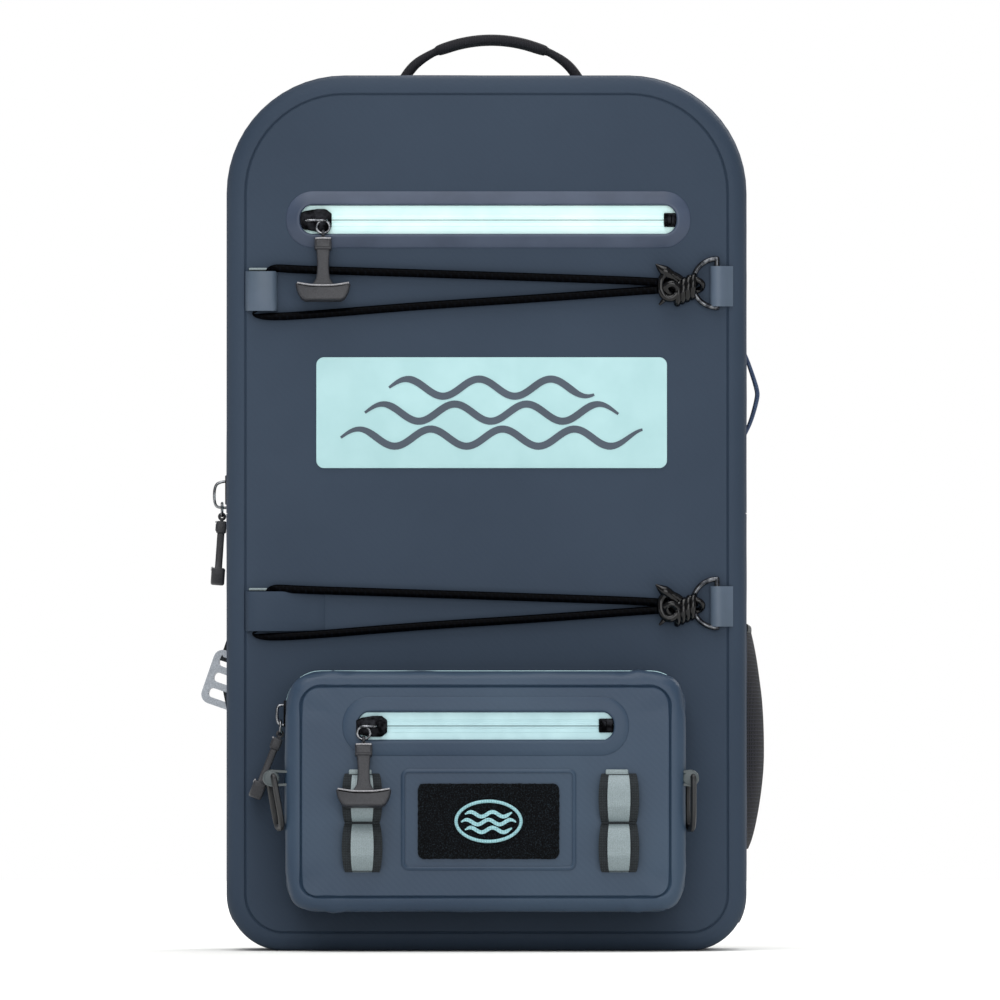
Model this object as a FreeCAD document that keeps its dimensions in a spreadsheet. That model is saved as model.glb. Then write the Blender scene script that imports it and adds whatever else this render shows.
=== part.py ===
import FreeCAD
import Part
import Sketcher
import math
import os
import re

# Tackle backpack: welded waterproof daypack with a fold-down front lid, a detachable front pouch,
# two shock-cord lashings and padded shoulder straps.
# Frame: millimetres, X to the wearer's right seen from the front, +Y to the wearer's back, +Z up,
# origin at the middle of the base of the main shell.  The front face looks along -Y.

DIMENSIONS = {
    # main shell
    "half_wide": 166, "body_tall": 560, "half_deep": 80, "wall": 3,
    "crown_bend": 75, "foot_bend": 36, "front_rim": 14, "rear_rim": 12,
    "panel_line": 66, "base_line": 20, "lid_line": 280, "seam_gap": 0.3,
    # coil zips: tape thickness, how far it sits under the shell face, half of the gap for the coil
    "tape_thick": 1.6, "tape_sunk": 0.8, "coil_half": 1.5, "tape_join": 4, "slot_round": 0.98,
    # how far a cutting tool runs past the piece, and how far fused pieces lap
    "over": 1, "lap": 0.5,
    "main_zip_y": -10, "main_tape_half": 13,
    # slider, ring and moulded pull
    "plate_thick": 3, "slide_gap": 0.3, "neck_half": 0.8, "neck_long": 3, "under_thick": 1.4,
    "plate_half": 5.5, "pocket_ring_x": -104.6, "pocket_ring_z": 467.6, "pocket_shift": -5,
    "pocket_rise": 0.15, "pocket_plate": 9.5, "slot_ring_x": -78.4, "slot_ring_z": 144.1,
    "slot_shift": 6.9, "slot_rise": 0.2, "slot_plate": 10.5, "main_ring_z": 286.5, "main_shift": 10.5,
    "main_plate": 14, "gusset_ring_z": 147.5, "gusset_shift": 5.5, "gusset_plate": 8.9,
    "gusset_under": 2.5,
    "wire_half": 0.9, "ring_bend": 4.1, "wire_gap": 0.35, "staple_thick": 1.5,
    "staple_half": 3, "staple_wide": 1,
    "eye_half": 1.1, "eye_outer": 2.4, "eye_bore": 1.35, "pull_long": 44.5, "grip_half": 17.5,
    "grip_tall": 11, "grip_thick": 9, "grip_bend": 3, "stem_half": 4.5, "stem_thick": 4.5,
    "collar_half": 5.5,
    "collar_thick": 6.4, "collar_top": 3.2, "collar_tall": 8,
    # upper pocket on the lid
    "pocket_left": -124, "pocket_right": 124, "pocket_low": 458.5, "pocket_high": 477,
    "bezel_out": 6, "bezel_drop": 7, "bezel_proud": 1.2,
    # badge patch on the lid
    "badge_left": -109, "badge_right": 115.5, "badge_low": 309, "badge_high": 380, "badge_proud": 1,
    "patch_bend": 5,
    # shock-cord lashings: one level on the lid, one on the lower front panel
    "upper_level": 427.3, "lower_level": 222.4, "cord_half": 2.75, "cord_stand": 3.2,
    "cord_turn_x": -148.5, "cord_high": 9.7, "cord_low": -21.3, "knot_left": 108,
    "knot_long": 28, "knot_tall": 24, "knot_thick": 11.6, "cord_turn": 6.5,
    "cord_tab_left": -154.6, "cord_tab_right": -133.4, "cord_tab_half": 12.7, "cord_tab_mid": -5,
    "tab_proud": 7.2, "channel_half": 3.1, "cord_start": 110, "cord_rise": 1.5, "cord_fall": 4.3,
    "knot_drop": 1.4, "knot_gap": 0.3, "knot_round": 0.4, "ring_gap": 0.3,
    "dring_x": 147.5, "dring_bend": 15.6, "dring_wire": 1.65, "dring_stand": 3.5,
    "dring_bore": 2, "ring_tab_left": 142.9, "ring_tab_right": 157.8, "ring_tab_half": 12.9,
    # pouch
    "pouch_mid": -0.65, "pouch_half": 127.35, "pouch_low": 25.6, "pouch_high": 179.2,
    "pouch_front": -142, "pouch_back": -82.5, "pouch_wall": 2.5, "pouch_crown": 22,
    "pouch_foot": 19.5, "pouch_rim": 15, "pouch_rear_rim": 4, "pouch_zip_y": -98.5,
    "pouch_tape_half": 6, "pouch_face_line": -127, "pouch_tape_low": 60,
    "hook_thick": 2.2, "hook_half": 100, "hook_low": 45, "hook_high": 160,
    "slot_left": -87, "slot_right": 83, "slot_low": 135, "slot_high": 153.6,
    "slot_out": 7, "slot_drop": 9,
    "patch_left": -43.8, "patch_right": 46.4, "patch_low": 59.5, "patch_high": 107.5,
    "patch_proud": 2, "daisy_left": -79.4, "daisy_right": 84.5, "daisy_half": 13, "daisy_low": 50,
    "daisy_pitch": 32, "daisy_proud": 8, "daisy_thick": 1.6,
    # side tabs and moulded rings of the pouch
    "side_tab_y": -130.5, "side_tab_z": 111, "side_tab_half": 8.4,
    "side_tab_bend": 5.4, "side_bar": 2.2, "side_bore": 2.6, "side_ring_half": 12.2,
    "side_ring_leg": 3.5, "side_ring_drop": 34, "side_ring_foot": 5,
    # top handle
    "handle_left": -48, "handle_right": 54, "handle_y": 27, "handle_half": 6.5, "handle_low": 566,
    "handle_top": 585.6, "handle_thick": 5, "handle_bend": 14, "handle_trim": 1.5,
    "handle_foot": 1, "handle_open": 20, "riser_half": 12.5, "riser_long": 12, "riser_gap": 0.3,
    "riser_over": 3,
    # side grab handle and stretch pocket, both on the right
    "grab_low": 328, "grab_high": 385, "grab_proud": 10, "grab_thick": 2.4, "grab_y": 18,
    "grab_wide": 25,
    "mesh_low": 65, "mesh_high": 209, "mesh_half": 58, "mesh_proud": 11, "mesh_thick": 1.8,
    # back
    "pad_inner": 15, "pad_outer": 120, "pad_low": 60, "pad_high": 470, "pad_thick": 12,
    "pad_bend": 15,
    "yoke_half": 90, "yoke_low": 527, "yoke_high": 546, "yoke_thick": 2,
    "sheet_half": 120, "sheet_low": 30, "sheet_high": 500, "sheet_thick": 2, "sheet_gap": 1,
    "organiser_half": 130, "organiser_low": 25, "organiser_high": 300, "organiser_deep": 7.5,
    "organiser_gap": 0.5, "organiser_rim": 2, "organiser_face": 1.5,
    "liner_half": 135, "liner_low": 300, "liner_high": 485, "liner_deep": 15, "liner_thick": 1.2,
    "liner_gap": 1.5, "liner_mouth": 4,
    # shoulder straps
    "anchor_x": 48, "anchor_z": 512, "strap_half": 32.5, "strap_thick": 12, "strap_bend": 400,
    "strap_mid_z": 330, "strap_long": 317, "strap_stand": 0.4,
    "lock_drop": 360, "lock_half": 18, "lock_tall": 36, "lock_y": 96, "lock_thick": 6,
    "lock_bar": 4.5, "lock_slot": 6, "lock_play": 0.6, "belt_half": 12.5, "belt_thick": 1.6,
    "belt_stand": 2.6, "belt_under": 2, "wing_x": 138.5, "wing_tall": 40, "wing_half": 15,
    "wing_foot": 22, "wing_thick": 2,
    # sternum strap halves
    "sternum_x": 55, "sternum_z": 398, "sternum_y": 139, "sternum_half": 10, "sternum_thick": 2,
    "sternum_belt": 24, "buckle_half": 14, "buckle_tall": 26, "buckle_thick": 7,
    "buckle_sunk": 0.3, "sternum_lap": 2, "sternum_over": 4,
}
SPLAY = {"left": 19.0, "right": -14.5}
PULL_TILT = {"main": 4.0, "pocket": 12.5, "pouch_pocket": 14.0, "pouch_main": 22.0}
SIDE_RING_LEAN = {"left": 10.0, "right": 0.0}
SIDE_TAB_PROUD = {"left": 15, "right": 9}

doc = FreeCAD.newDocument("tackle_backpack")
sheet = doc.addObject("Spreadsheet::Sheet", "dims")
for row, (word, value) in enumerate(DIMENSIONS.items(), 1):
    sheet.set(f"A{row}", word)
    sheet.set(f"B{row}", str(value))
    sheet.setAlias(f"B{row}", word)
doc.recompute()

WORD = re.compile(r"[a-z][a-z_]+")
parts = {}


def bound(text):
    """An expression with each alias of the sheet given its full name."""
    return WORD.sub(lambda found: "dims." + found[0] if found[0] in DIMENSIONS else found[0], text)


def size(text):
    """The value in millimetres of an expression over the sheet."""
    return float(sheet.evalExpression(bound(text)))


def bind(thing, **sizes):
    for name, text in sizes.items():
        thing.setExpression(name.replace("__", "."), bound(text))


def box(name, x_span, y_span, z_span):
    block = doc.addObject("Part::Box", name)
    spans = zip(("Length", "Width", "Height"), "xyz", (x_span, y_span, z_span))
    for side, axis, (low, high) in spans:
        block.setExpression(side, bound(f"({high})-({low})"))
        block.setExpression(f"Placement.Base.{axis}", bound(low))
    return block


def rod(name, axis, start, length, radius):
    """A cylinder that runs from start along +X, +Y or +Z."""
    turns = {"x": ((0, 1, 0), 90), "y": ((1, 0, 0), -90), "z": ((0, 0, 1), 0)}
    about, degrees = turns[axis]
    shaft = doc.addObject("Part::Cylinder", name)
    shaft.Placement.Rotation = FreeCAD.Rotation(FreeCAD.Vector(*about), degrees)
    bind(shaft, Radius=radius, Height=length)
    for letter, text in zip("xyz", start):
        shaft.setExpression(f"Placement.Base.{letter}", bound(text))
    return shaft


def fuse(name, *pieces):
    joined = doc.addObject("Part::MultiFuse", name)
    joined.Shapes = list(pieces)
    joined.Refine = True
    return joined


def group(name, *pieces):
    gathered = doc.addObject("Part::Compound", name)
    gathered.Links = list(pieces)
    return gathered


def cut(name, base, *tools):
    for number, tool in enumerate(tools):
        trimmed = doc.addObject("Part::Cut", f"{name}_{number}")
        trimmed.Base = base
        trimmed.Tool = tool
        base = trimmed
    return base


def common(name, base, tool):
    kept = doc.addObject("Part::Common", name)
    kept.Base = base
    kept.Tool = tool
    return kept


def place(thing, spot, turn=0.0, tilt=0.0, lean=0.0):
    """Tilt about X, lean about Y, then turn about Z, then move the piece's own origin to spot."""
    turned = FreeCAD.Rotation(FreeCAD.Vector(0, 0, 1), turn)
    leaned = FreeCAD.Rotation(FreeCAD.Vector(0, 1, 0), lean)
    tilted = FreeCAD.Rotation(FreeCAD.Vector(1, 0, 0), tilt)
    thing.Placement = FreeCAD.Placement(FreeCAD.Vector(), turned * leaned * tilted)
    for letter, text in zip("xyz", spot):
        thing.setExpression(f"Placement.Base.{letter}", bound(text))
    return thing


def keep(label, thing):
    thing.Label = label
    parts[label] = thing
    return thing


def edge_names(shape, wanted):
    return [f"Edge{number}" for number, edge in enumerate(shape.Edges, 1) if wanted(edge)]


def runs_along_y(edge):
    low, high = (vertex.Point for vertex in edge.Vertexes[:2])
    return abs(high.y - low.y) > 1e-3


def fillet(body, base, name, radius, wanted):
    doc.recompute()
    rounded = body.newObject("PartDesign::Fillet", name)
    rounded.Base = (base, edge_names(base.Shape, wanted))
    bind(rounded, Radius=radius)
    return rounded


def rounded_block(name, x_span, y_span, z_span, crown, foot, front_rim="", rear_rim=""):
    """A block whose upright-plane outline has rounded corners, with optional rounded rims."""
    body = doc.addObject("PartDesign::Body", name)
    plane = next(item for item in body.Origin.OriginFeatures if item.Role == "XZ_Plane")
    sketch = body.newObject("Sketcher::SketchObject", name + "_outline")
    sketch.AttachmentSupport = [(plane, "")]
    sketch.MapMode = "FlatFace"
    sketch.setExpression("AttachmentOffset.Base.z", bound(f"-({y_span[1]})"))
    corners = [(x_span[0], z_span[0]), (x_span[1], z_span[0]), (x_span[1], z_span[1]),
               (x_span[0], z_span[1])]
    spots = [FreeCAD.Vector(size(across), size(up), 0) for across, up in corners]
    for number in range(4):
        sketch.addGeometry(Part.LineSegment(spots[number], spots[(number + 1) % 4]))
    for number in range(4):
        sketch.addConstraint(Sketcher.Constraint("Coincident", number, 2, (number + 1) % 4, 1))
    for number, (across, up) in enumerate(corners):
        for kind, text, value in (("DistanceX", across, spots[number].x),
                                  ("DistanceY", up, spots[number].y)):
            index = sketch.addConstraint(Sketcher.Constraint(kind, -1, 1, number, 1, value))
            sketch.setExpression(f"Constraints[{index}]", bound(text))
    pad = body.newObject("PartDesign::Pad", name + "_pad")
    pad.Profile = sketch
    bind(pad, Length=f"({y_span[1]})-({y_span[0]})")
    middle = (spots[0].y + spots[2].y) / 2
    last = fillet(body, pad, name + "_crown", crown,
                  lambda edge: runs_along_y(edge) and edge.CenterOfMass.z > middle)
    last = fillet(body, last, name + "_foot", foot,
                  lambda edge: runs_along_y(edge) and edge.CenterOfMass.z < middle
                  and not edge.Curve.TypeId.endswith("Circle")
                  and min(abs(edge.CenterOfMass.x - spots[0].x),
                          abs(edge.CenterOfMass.x - spots[1].x)) < 1e-3
                  and abs(edge.CenterOfMass.z - spots[0].y) < 1e-3)
    for label, rim, side in (("front", front_rim, y_span[0]), ("rear", rear_rim, y_span[1])):
        if rim:
            level = size(side)
            last = fillet(body, last, f"{name}_{label}_rim", rim,
                          lambda edge: not runs_along_y(edge)
                          and abs(edge.CenterOfMass.y - level) < 1e-3)
    body.Tip = last
    return body


def shell_block(name, inset, rims=True):
    """The main shell's outline, inset on every side."""
    return rounded_block(
        name,
        (f"-half_wide+{inset}", f"half_wide-{inset}"),
        (f"-half_deep+{inset}", f"half_deep-{inset}"),
        (inset, f"body_tall-{inset}"),
        f"crown_bend-{inset}", f"foot_bend-{inset}",
        f"front_rim-{inset}" if rims else "", f"rear_rim-{inset}" if rims else "")


def pouch_block(name, inset, rims=True):
    return rounded_block(
        name,
        (f"pouch_mid-pouch_half+{inset}", f"pouch_mid+pouch_half-{inset}"),
        (f"pouch_front+{inset}", f"pouch_back-{inset}"),
        (f"pouch_low+{inset}", f"pouch_high-{inset}"),
        f"pouch_crown-{inset}", f"pouch_foot-{inset}",
        f"pouch_rim-{inset}" if rims else "", f"pouch_rear_rim-{inset}" if rims else "")


WIDE = ("-2*half_wide", "2*half_wide")
TAPE_LOW = "tape_sunk"
TAPE_DEEP = "tape_sunk+tape_thick"


def main_shell():
    """Wall panels of the shell: a fixed part, and a lid above the fabric hinge at lid_line."""
    wall = cut("shell_wall", shell_block("shell_outer", "0*wall"), shell_block("shell_inner", "wall"))
    tape = cut("tape_wall", shell_block("tape_outer", TAPE_LOW, False),
               shell_block("tape_inner", f"({TAPE_DEEP})", False))
    below = ("-over", "lid_line-seam_gap/2")
    above = ("lid_line+seam_gap/2", "body_tall+over")
    front = ("-half_deep-over", "-panel_line")
    zip_front = "main_zip_y-main_tape_half"
    zip_rear = "main_zip_y+main_tape_half"

    keep("base_panel", common("base", wall, box(
        "base_zone", WIDE, ("-panel_line", "panel_line"), ("-over", "base_line"))))
    keep("gusset_lower", common("lower_gusset", wall, box(
        "lower_zone", WIDE, ("-panel_line", "panel_line"), ("base_line", "lid_line-seam_gap/2"))))
    keep("front_panel_lower", common("lower_front", wall, box("lower_front_zone", WIDE, front, below)))
    keep("back_panel", common("back", wall, box(
        "back_zone", WIDE, ("panel_line", "half_deep+over"), ("-over", "body_tall+over"))))
    keep("gusset_rear", common("rear_gusset", wall, box(
        "rear_zone", WIDE, (zip_rear, "panel_line"), ("lid_line-seam_gap/2", "body_tall+over"))))
    keep("main_tape_rear", common("rear_tape", tape, box(
        "rear_tape_zone", WIDE, ("main_zip_y+coil_half", zip_rear),
        ("lid_line-seam_gap/2", "body_tall+over"))))
    keep("gusset_lid", common("lid_gusset", wall, box(
        "lid_zone", WIDE, ("-panel_line", zip_front), above)))
    keep("main_tape_lid", common("lid_tape", tape, box(
        "lid_tape_zone", WIDE, (zip_front, "main_zip_y-coil_half"), above)))
    upper = common("upper_front", wall, box("upper_front_zone", WIDE, front, above))
    keep("front_panel_upper", cut("slotted_front", upper, zip_slot(
        "pocket_slot", "pocket", ("-half_deep-over", "-half_deep+wall+over"), "0")))


def zip_slot(name, word, y_span, out, drop=None):
    """The long rounded window of a flat zip, grown by out at the ends and drop above and below."""
    drop = drop or out
    half = f"(({word}_high-{word}_low)/2+{drop})*slot_round"
    return rounded_block(
        name, (f"{word}_left-{out}", f"{word}_right+{out}"), y_span,
        (f"{word}_low-{drop}", f"{word}_high+{drop}"), half, half)


def flat_zip(label, word, face, out, drop):
    """Raised surround and the two tape strips of a flat zip whose panel face is at y = face."""
    surround = zip_slot(word + "_surround", word, (f"{face}-bezel_proud", face), out, drop)
    hole = zip_slot(word + "_hole", word, (f"{face}-bezel_proud-over", f"{face}+over"), "0")
    keep(label + "_bezel", cut(word + "_bezel", surround, hole))
    strip = zip_slot(word + "_strip", word,
                     (f"{face}+tape_sunk", f"{face}+tape_sunk+tape_thick"), "0")
    gap = box(word + "_coil_gap", (f"{word}_left+tape_join", f"{word}_right-tape_join"),
              (f"{face}-tape_join", f"{face}+tape_join"),
              (f"({word}_low+{word}_high)/2-coil_half", f"({word}_low+{word}_high)/2+coil_half"))
    keep(label + "_tapes", cut(word + "_tapes", strip, gap))


def zip_slider(label, along, ring_shift, long_half, under_half, spot, turn=0.0):
    """Slider in its own frame: tape face at y = 0, ring wire at x = z = 0, staple over the wire.

    along is the travel axis; ring_shift is from the wire to the middle of the plate."""
    def span(axis, half):
        middle = ring_shift[axis]
        return (f"{middle}-{half}", f"{middle}+{half}")

    halves = {"x": "plate_half", "z": "plate_half"}
    halves[along] = long_half
    necks = {"x": "neck_half", "z": "neck_half"}
    necks[along] = "neck_long"
    unders = dict(halves)
    unders[along] = under_half
    plate = box(label + "_plate", span("x", halves["x"]), ("-slide_gap-plate_thick", "-slide_gap"),
                span("z", halves["z"]))
    neck = box(label + "_neck", span("x", necks["x"]),
               ("-slide_gap-lap", "tape_thick+slide_gap+lap"), span("z", necks["z"]))
    under = box(label + "_under", span("x", unders["x"]),
                ("tape_thick+slide_gap", "tape_thick+slide_gap+under_thick"),
                span("z", unders["z"]))
    top = "-slide_gap-plate_thick"
    crest = f"{top}-2*(wire_half+wire_gap)"
    posts = [box(f"{label}_post_{sign}", ("-staple_wide", "staple_wide"),
                 (f"{crest}-lap", f"{top}+lap"), ends)
             for sign, ends in (("low", ("-staple_half", "-staple_half+staple_thick")),
                                ("high", ("staple_half-staple_thick", "staple_half")))]
    bar = box(label + "_bar", ("-staple_wide", "staple_wide"), (f"{crest}-staple_thick", crest),
              ("-staple_half", "staple_half"))
    keep(label, place(fuse(label + "_fused", plate, neck, under, *posts, bar), spot, turn))


def pull_ring(label, spot, turn=0.0):
    """Split-free wire ring that hangs below spot, the middle of the wire under the staple."""
    ring = doc.addObject("Part::Torus", label + "_torus")
    bind(ring, Radius1="ring_bend", Radius2="wire_half")
    ring.Placement.Rotation = FreeCAD.Rotation(FreeCAD.Vector(1, 0, 0), 90)
    bind(ring, Placement__Base__z="-ring_bend")
    keep(label, place(group(label + "_wire", ring), spot, turn))


def t_pull(label, spot, tilt, turn=0.0):
    """Moulded T-shaped zip pull hanging below its eye."""
    lug = rod(label + "_lug", "x", ("-eye_half", "0", "0"), "2*eye_half", "eye_outer")
    neck = box(label + "_neck", ("-eye_half", "eye_half"), ("-eye_outer", "eye_outer"),
               ("-collar_top-lap", "0"))
    collar = box(label + "_collar", ("-collar_half", "collar_half"),
                 ("-collar_thick/2", "collar_thick/2"), ("-collar_top-collar_tall", "-collar_top"))
    stem = box(label + "_stem", ("-stem_half", "stem_half"), ("-stem_thick/2", "stem_thick/2"),
               ("-pull_long+grip_tall-over", "-collar_top-over"))
    bar = box(label + "_bar", ("-grip_half", "grip_half"), ("-grip_thick/2", "grip_thick/2"),
              ("-pull_long", "-pull_long+grip_tall"))
    doc.recompute()
    grip = doc.addObject("Part::Fillet", label + "_grip")
    grip.Base = bar
    grip.Edges = [(number, size("grip_bend"), size("grip_bend")) for number in range(1, 13)]
    solid = fuse(label + "_solid", lug, neck, collar, stem, grip)
    bore = rod(label + "_bore", "x", ("-eye_half-over", "0", "0"), "2*eye_half+2*over", "eye_bore")
    keep(label, place(cut(label + "_drilled", solid, bore), spot, turn, -tilt))


RING_STAND = "(slide_gap+plate_thick+wire_gap+wire_half)"


def zip_sets():
    """Slider, ring and pull of the four zips.  The side zips face -X, so they turn by -90 degrees."""
    face = "-half_deep+tape_sunk"
    pouch_face = "pouch_front+tape_sunk"
    side = "-half_wide+tape_sunk"
    pouch_side = "pouch_mid-pouch_half+tape_sunk"
    sets = (
        ("pocket", ("pocket_ring_x", face, "pocket_ring_z"), 0.0, "x",
         {"x": "pocket_shift", "z": "pocket_rise"}, "pocket_plate", "pocket_plate"),
        ("pouch_pocket", ("slot_ring_x", pouch_face, "slot_ring_z"), 0.0, "x",
         {"x": "slot_shift", "z": "slot_rise"}, "slot_plate", "slot_plate"),
        ("main", (side, "main_zip_y", "main_ring_z"), -90.0, "z",
         {"x": "0", "z": "main_shift"}, "main_plate", "main_plate"),
        ("pouch_main", (pouch_side, "pouch_zip_y", "gusset_ring_z"), -90.0, "z",
         {"x": "0", "z": "gusset_shift"}, "gusset_plate", "gusset_under"),
    )
    for word, (x, y, z), turn, along, shift, half, under in sets:
        zip_slider(word + "_slider", along, shift, half, under, (x, y, z), turn)
        out_x = f"{x}-{RING_STAND}" if turn else x
        out_y = y if turn else f"{y}-{RING_STAND}"
        pull_ring(word + "_ring", (out_x, out_y, z), turn)
        t_pull(word + "_pull", (out_x, out_y, f"{z}-2*ring_bend"), PULL_TILT[word], turn)


def lid_details():
    flat_zip("pocket", "pocket", "-half_deep", "bezel_out", "bezel_drop")
    keep("badge_patch", rounded_block(
        "badge", ("badge_left", "badge_right"), ("-half_deep-badge_proud", "-half_deep"),
        ("badge_low", "badge_high"), "patch_bend", "patch_bend"))
    front = "-half_deep+wall+liner_gap"
    bag = box("liner_bag", ("-liner_half", "liner_half"), (front, f"{front}+liner_deep"),
              ("liner_low", "liner_high"))
    room = box("liner_room", ("-liner_half+liner_thick", "liner_half-liner_thick"),
               (f"{front}+liner_thick", f"{front}+liner_deep-liner_thick"),
               ("liner_low+liner_thick", "liner_high-liner_thick"))
    mouth = box("liner_mouth", ("pocket_left", "pocket_right"), (f"{front}-over", f"{front}+liner_mouth"),
                ("pocket_low", "pocket_high"))
    keep("lid_pocket_liner", cut("liner", bag, room, mouth))


def rounded_route(points, bend):
    """Wire of straight runs joined by tangent arcs of one radius."""
    edges = []
    start = points[0]
    for before, corner, after in zip(points, points[1:], points[2:]):
        inward = (before - corner).normalize()
        outward = (after - corner).normalize()
        half = inward.getAngle(outward) / 2
        reach = bend / math.tan(half)
        first = corner + inward * reach
        last = corner + outward * reach
        centre = corner + (inward + outward).normalize() * (bend / math.sin(half))
        middle = centre + (corner - centre).normalize() * bend
        edges.append(Part.makeLine(start, first))
        edges.append(Part.Arc(first, middle, last).toShape())
        start = last
    edges.append(Part.makeLine(start, points[-1]))
    return Part.Wire(edges)


def lashing(word):
    """Shock cord doubled through a welded tab and knotted to a D-ring in a sewn tab."""
    level = f"{word}_level"
    stand = size("half_deep+cord_stand")
    start = size("cord_start")
    above = size(level + "+cord_rise")
    below = size(level + "-cord_fall")
    route = [FreeCAD.Vector(start, -stand, above),
             FreeCAD.Vector(size("cord_turn_x"), -stand, size(level + "+cord_high")),
             FreeCAD.Vector(size("cord_turn_x"), -stand, size(level + "+cord_low")),
             FreeCAD.Vector(start, -stand, below)]
    wire = rounded_route(route, size("cord_turn"))
    radius = size("cord_half")
    section = Part.Wire(Part.makeCircle(radius, route[0], route[1] - route[0]))
    cord = wire.makePipeShell([section], True, False)
    drawn = math.pi * radius * radius * wire.Length
    print(f"cord {word}: bend {size('cord_turn')} mm, length {wire.Length:.1f} mm, "
          f"volume {cord.Volume:.0f} of {drawn:.0f} mm3")
    thick = size("knot_thick")
    middle = FreeCAD.Vector(size("knot_left+knot_long/2"), -size("half_deep+knot_gap"),
                            size(level + "-knot_drop"))
    knot = Part.makeCylinder(size("knot_tall/2"), thick, middle, FreeCAD.Vector(0, -1, 0))
    knot = knot.makeFillet(thick * size("knot_round"), [edge for edge in knot.Edges
                                         if edge.Curve.TypeId.endswith("Circle")])
    ring_x = size("dring_x")
    hole = Part.makeTorus(size("dring_bend"), size("dring_wire+ring_gap"),
                          FreeCAD.Vector(ring_x, -size("half_deep+dring_stand"), size(level)),
                          FreeCAD.Vector(0, 1, 0))
    bungee = doc.addObject("Part::Feature", f"bungee_{word}_cord")
    bungee.Shape = cord.fuse(knot).cut(hole)
    bungee.Placement = FreeCAD.Placement()
    keep(f"bungee_{word}", bungee)

    bow = doc.addObject("Part::Torus", f"dring_{word}_bow")
    bind(bow, Radius1="dring_bend", Radius2="dring_wire")
    bow.Angle3 = 180
    bow.Placement.Rotation = FreeCAD.Rotation(
        FreeCAD.Vector(0, 0, 1), FreeCAD.Vector(-1, 0, 0), FreeCAD.Vector(0, 1, 0), "ZYX")
    bar = rod(f"dring_{word}_bar", "z", ("0", "0", "-dring_bend"), "2*dring_bend", "dring_wire")
    tips = []
    for end in ("-dring_bend", "dring_bend"):
        tip = doc.addObject("Part::Sphere", f"dring_{word}_tip")
        bind(tip, Radius="dring_wire", Placement__Base__z=end)
        tips.append(tip)
    ring = fuse(f"dring_{word}_wire", bow, bar, *tips)
    keep(f"d_ring_{word}", place(ring, ("dring_x", "-half_deep-dring_stand", level)))

    fold = box(f"ring_tab_{word}", ("ring_tab_left", "ring_tab_right"),
               ("-half_deep-dring_stand*2", "-half_deep"),
               (f"{level}-ring_tab_half", f"{level}+ring_tab_half"))
    bore = rod(f"ring_tab_{word}_bore", "z",
               ("dring_x", "-half_deep-dring_stand", f"{level}-ring_tab_half-over"),
               "2*ring_tab_half+2*over", "dring_bore")
    strap = box(f"cord_tab_{word}", ("cord_tab_left", "cord_tab_right"),
                ("-half_deep-tab_proud", "-half_deep"),
                (f"{level}+cord_tab_mid-cord_tab_half", f"{level}+cord_tab_mid+cord_tab_half"))
    channel = rod(f"cord_tab_{word}_channel", "z",
                  ("cord_turn_x", "-half_deep-cord_stand", f"{level}+cord_tab_mid-cord_tab_half-over"),
                  "2*cord_tab_half+2*over", "channel_half")
    keep(f"lashing_tabs_{word}", group(
        f"lashing_tabs_{word}_pair", cut(f"ring_tab_{word}_cut", fold, bore),
        cut(f"cord_tab_{word}_cut", strap, channel)))


def pouch():
    """Detachable pouch: a shallow back shell held by hook tape and a deep front shell that folds
    down about the bottom once its side zip is open."""
    wall = cut("pouch_wall_shell", pouch_block("pouch_outer", "0*wall"),
               pouch_block("pouch_inner", "pouch_wall"))
    tape = cut("pouch_tape_shell", pouch_block("pouch_tape_outer", TAPE_LOW, False),
               pouch_block("pouch_tape_inner", f"({TAPE_DEEP})", False))
    span_z = ("pouch_low-over", "pouch_high+over")
    tape_z = ("pouch_tape_low", "pouch_high+over")
    low_z = ("pouch_low-over", "pouch_tape_low")
    rear_line = "pouch_zip_y+pouch_tape_half"
    front_line = "pouch_zip_y-pouch_tape_half"
    rear_zone = fuse("pouch_rear_zone",
                     box("pouch_rear_all", WIDE, (rear_line, "pouch_back+over"), span_z),
                     box("pouch_rear_low", WIDE, ("pouch_zip_y+seam_gap/2", rear_line), low_z))
    front_zone = fuse("pouch_front_zone",
                      box("pouch_front_all", WIDE, ("pouch_face_line", front_line), span_z),
                      box("pouch_front_low", WIDE, (front_line, "pouch_zip_y-seam_gap/2"), low_z))
    keep("pouch_back_shell", common("pouch_rear", wall, rear_zone))
    keep("pouch_gusset", common("pouch_side", wall, front_zone))
    keep("pouch_tape_rear", common("pouch_rear_tape", tape, box(
        "pouch_rear_tape_zone", WIDE, ("pouch_zip_y+coil_half", rear_line), tape_z)))
    keep("pouch_tape_front", common("pouch_front_tape", tape, box(
        "pouch_front_tape_zone", WIDE, (front_line, "pouch_zip_y-coil_half"), tape_z)))
    face = common("pouch_face", wall, box(
        "pouch_face_zone", WIDE, ("pouch_front-over", "pouch_face_line"), span_z))
    keep("pouch_front_panel", cut("pouch_slotted", face, zip_slot(
        "pouch_slot", "slot", ("pouch_front-over", "pouch_front+pouch_wall+over"), "0")))
    flat_zip("pouch_pocket", "slot", "pouch_front", "slot_out", "slot_drop")
    keep("hook_panel", rounded_block(
        "hook", ("-hook_half", "hook_half"), ("-half_deep-hook_thick", "-half_deep"),
        ("hook_low", "hook_high"), "patch_bend", "patch_bend"))
    keep("loop_patch", rounded_block(
        "patch", ("patch_left", "patch_right"), ("pouch_front-patch_proud", "pouch_front"),
        ("patch_low", "patch_high"), "patch_bend", "patch_bend"))


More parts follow.
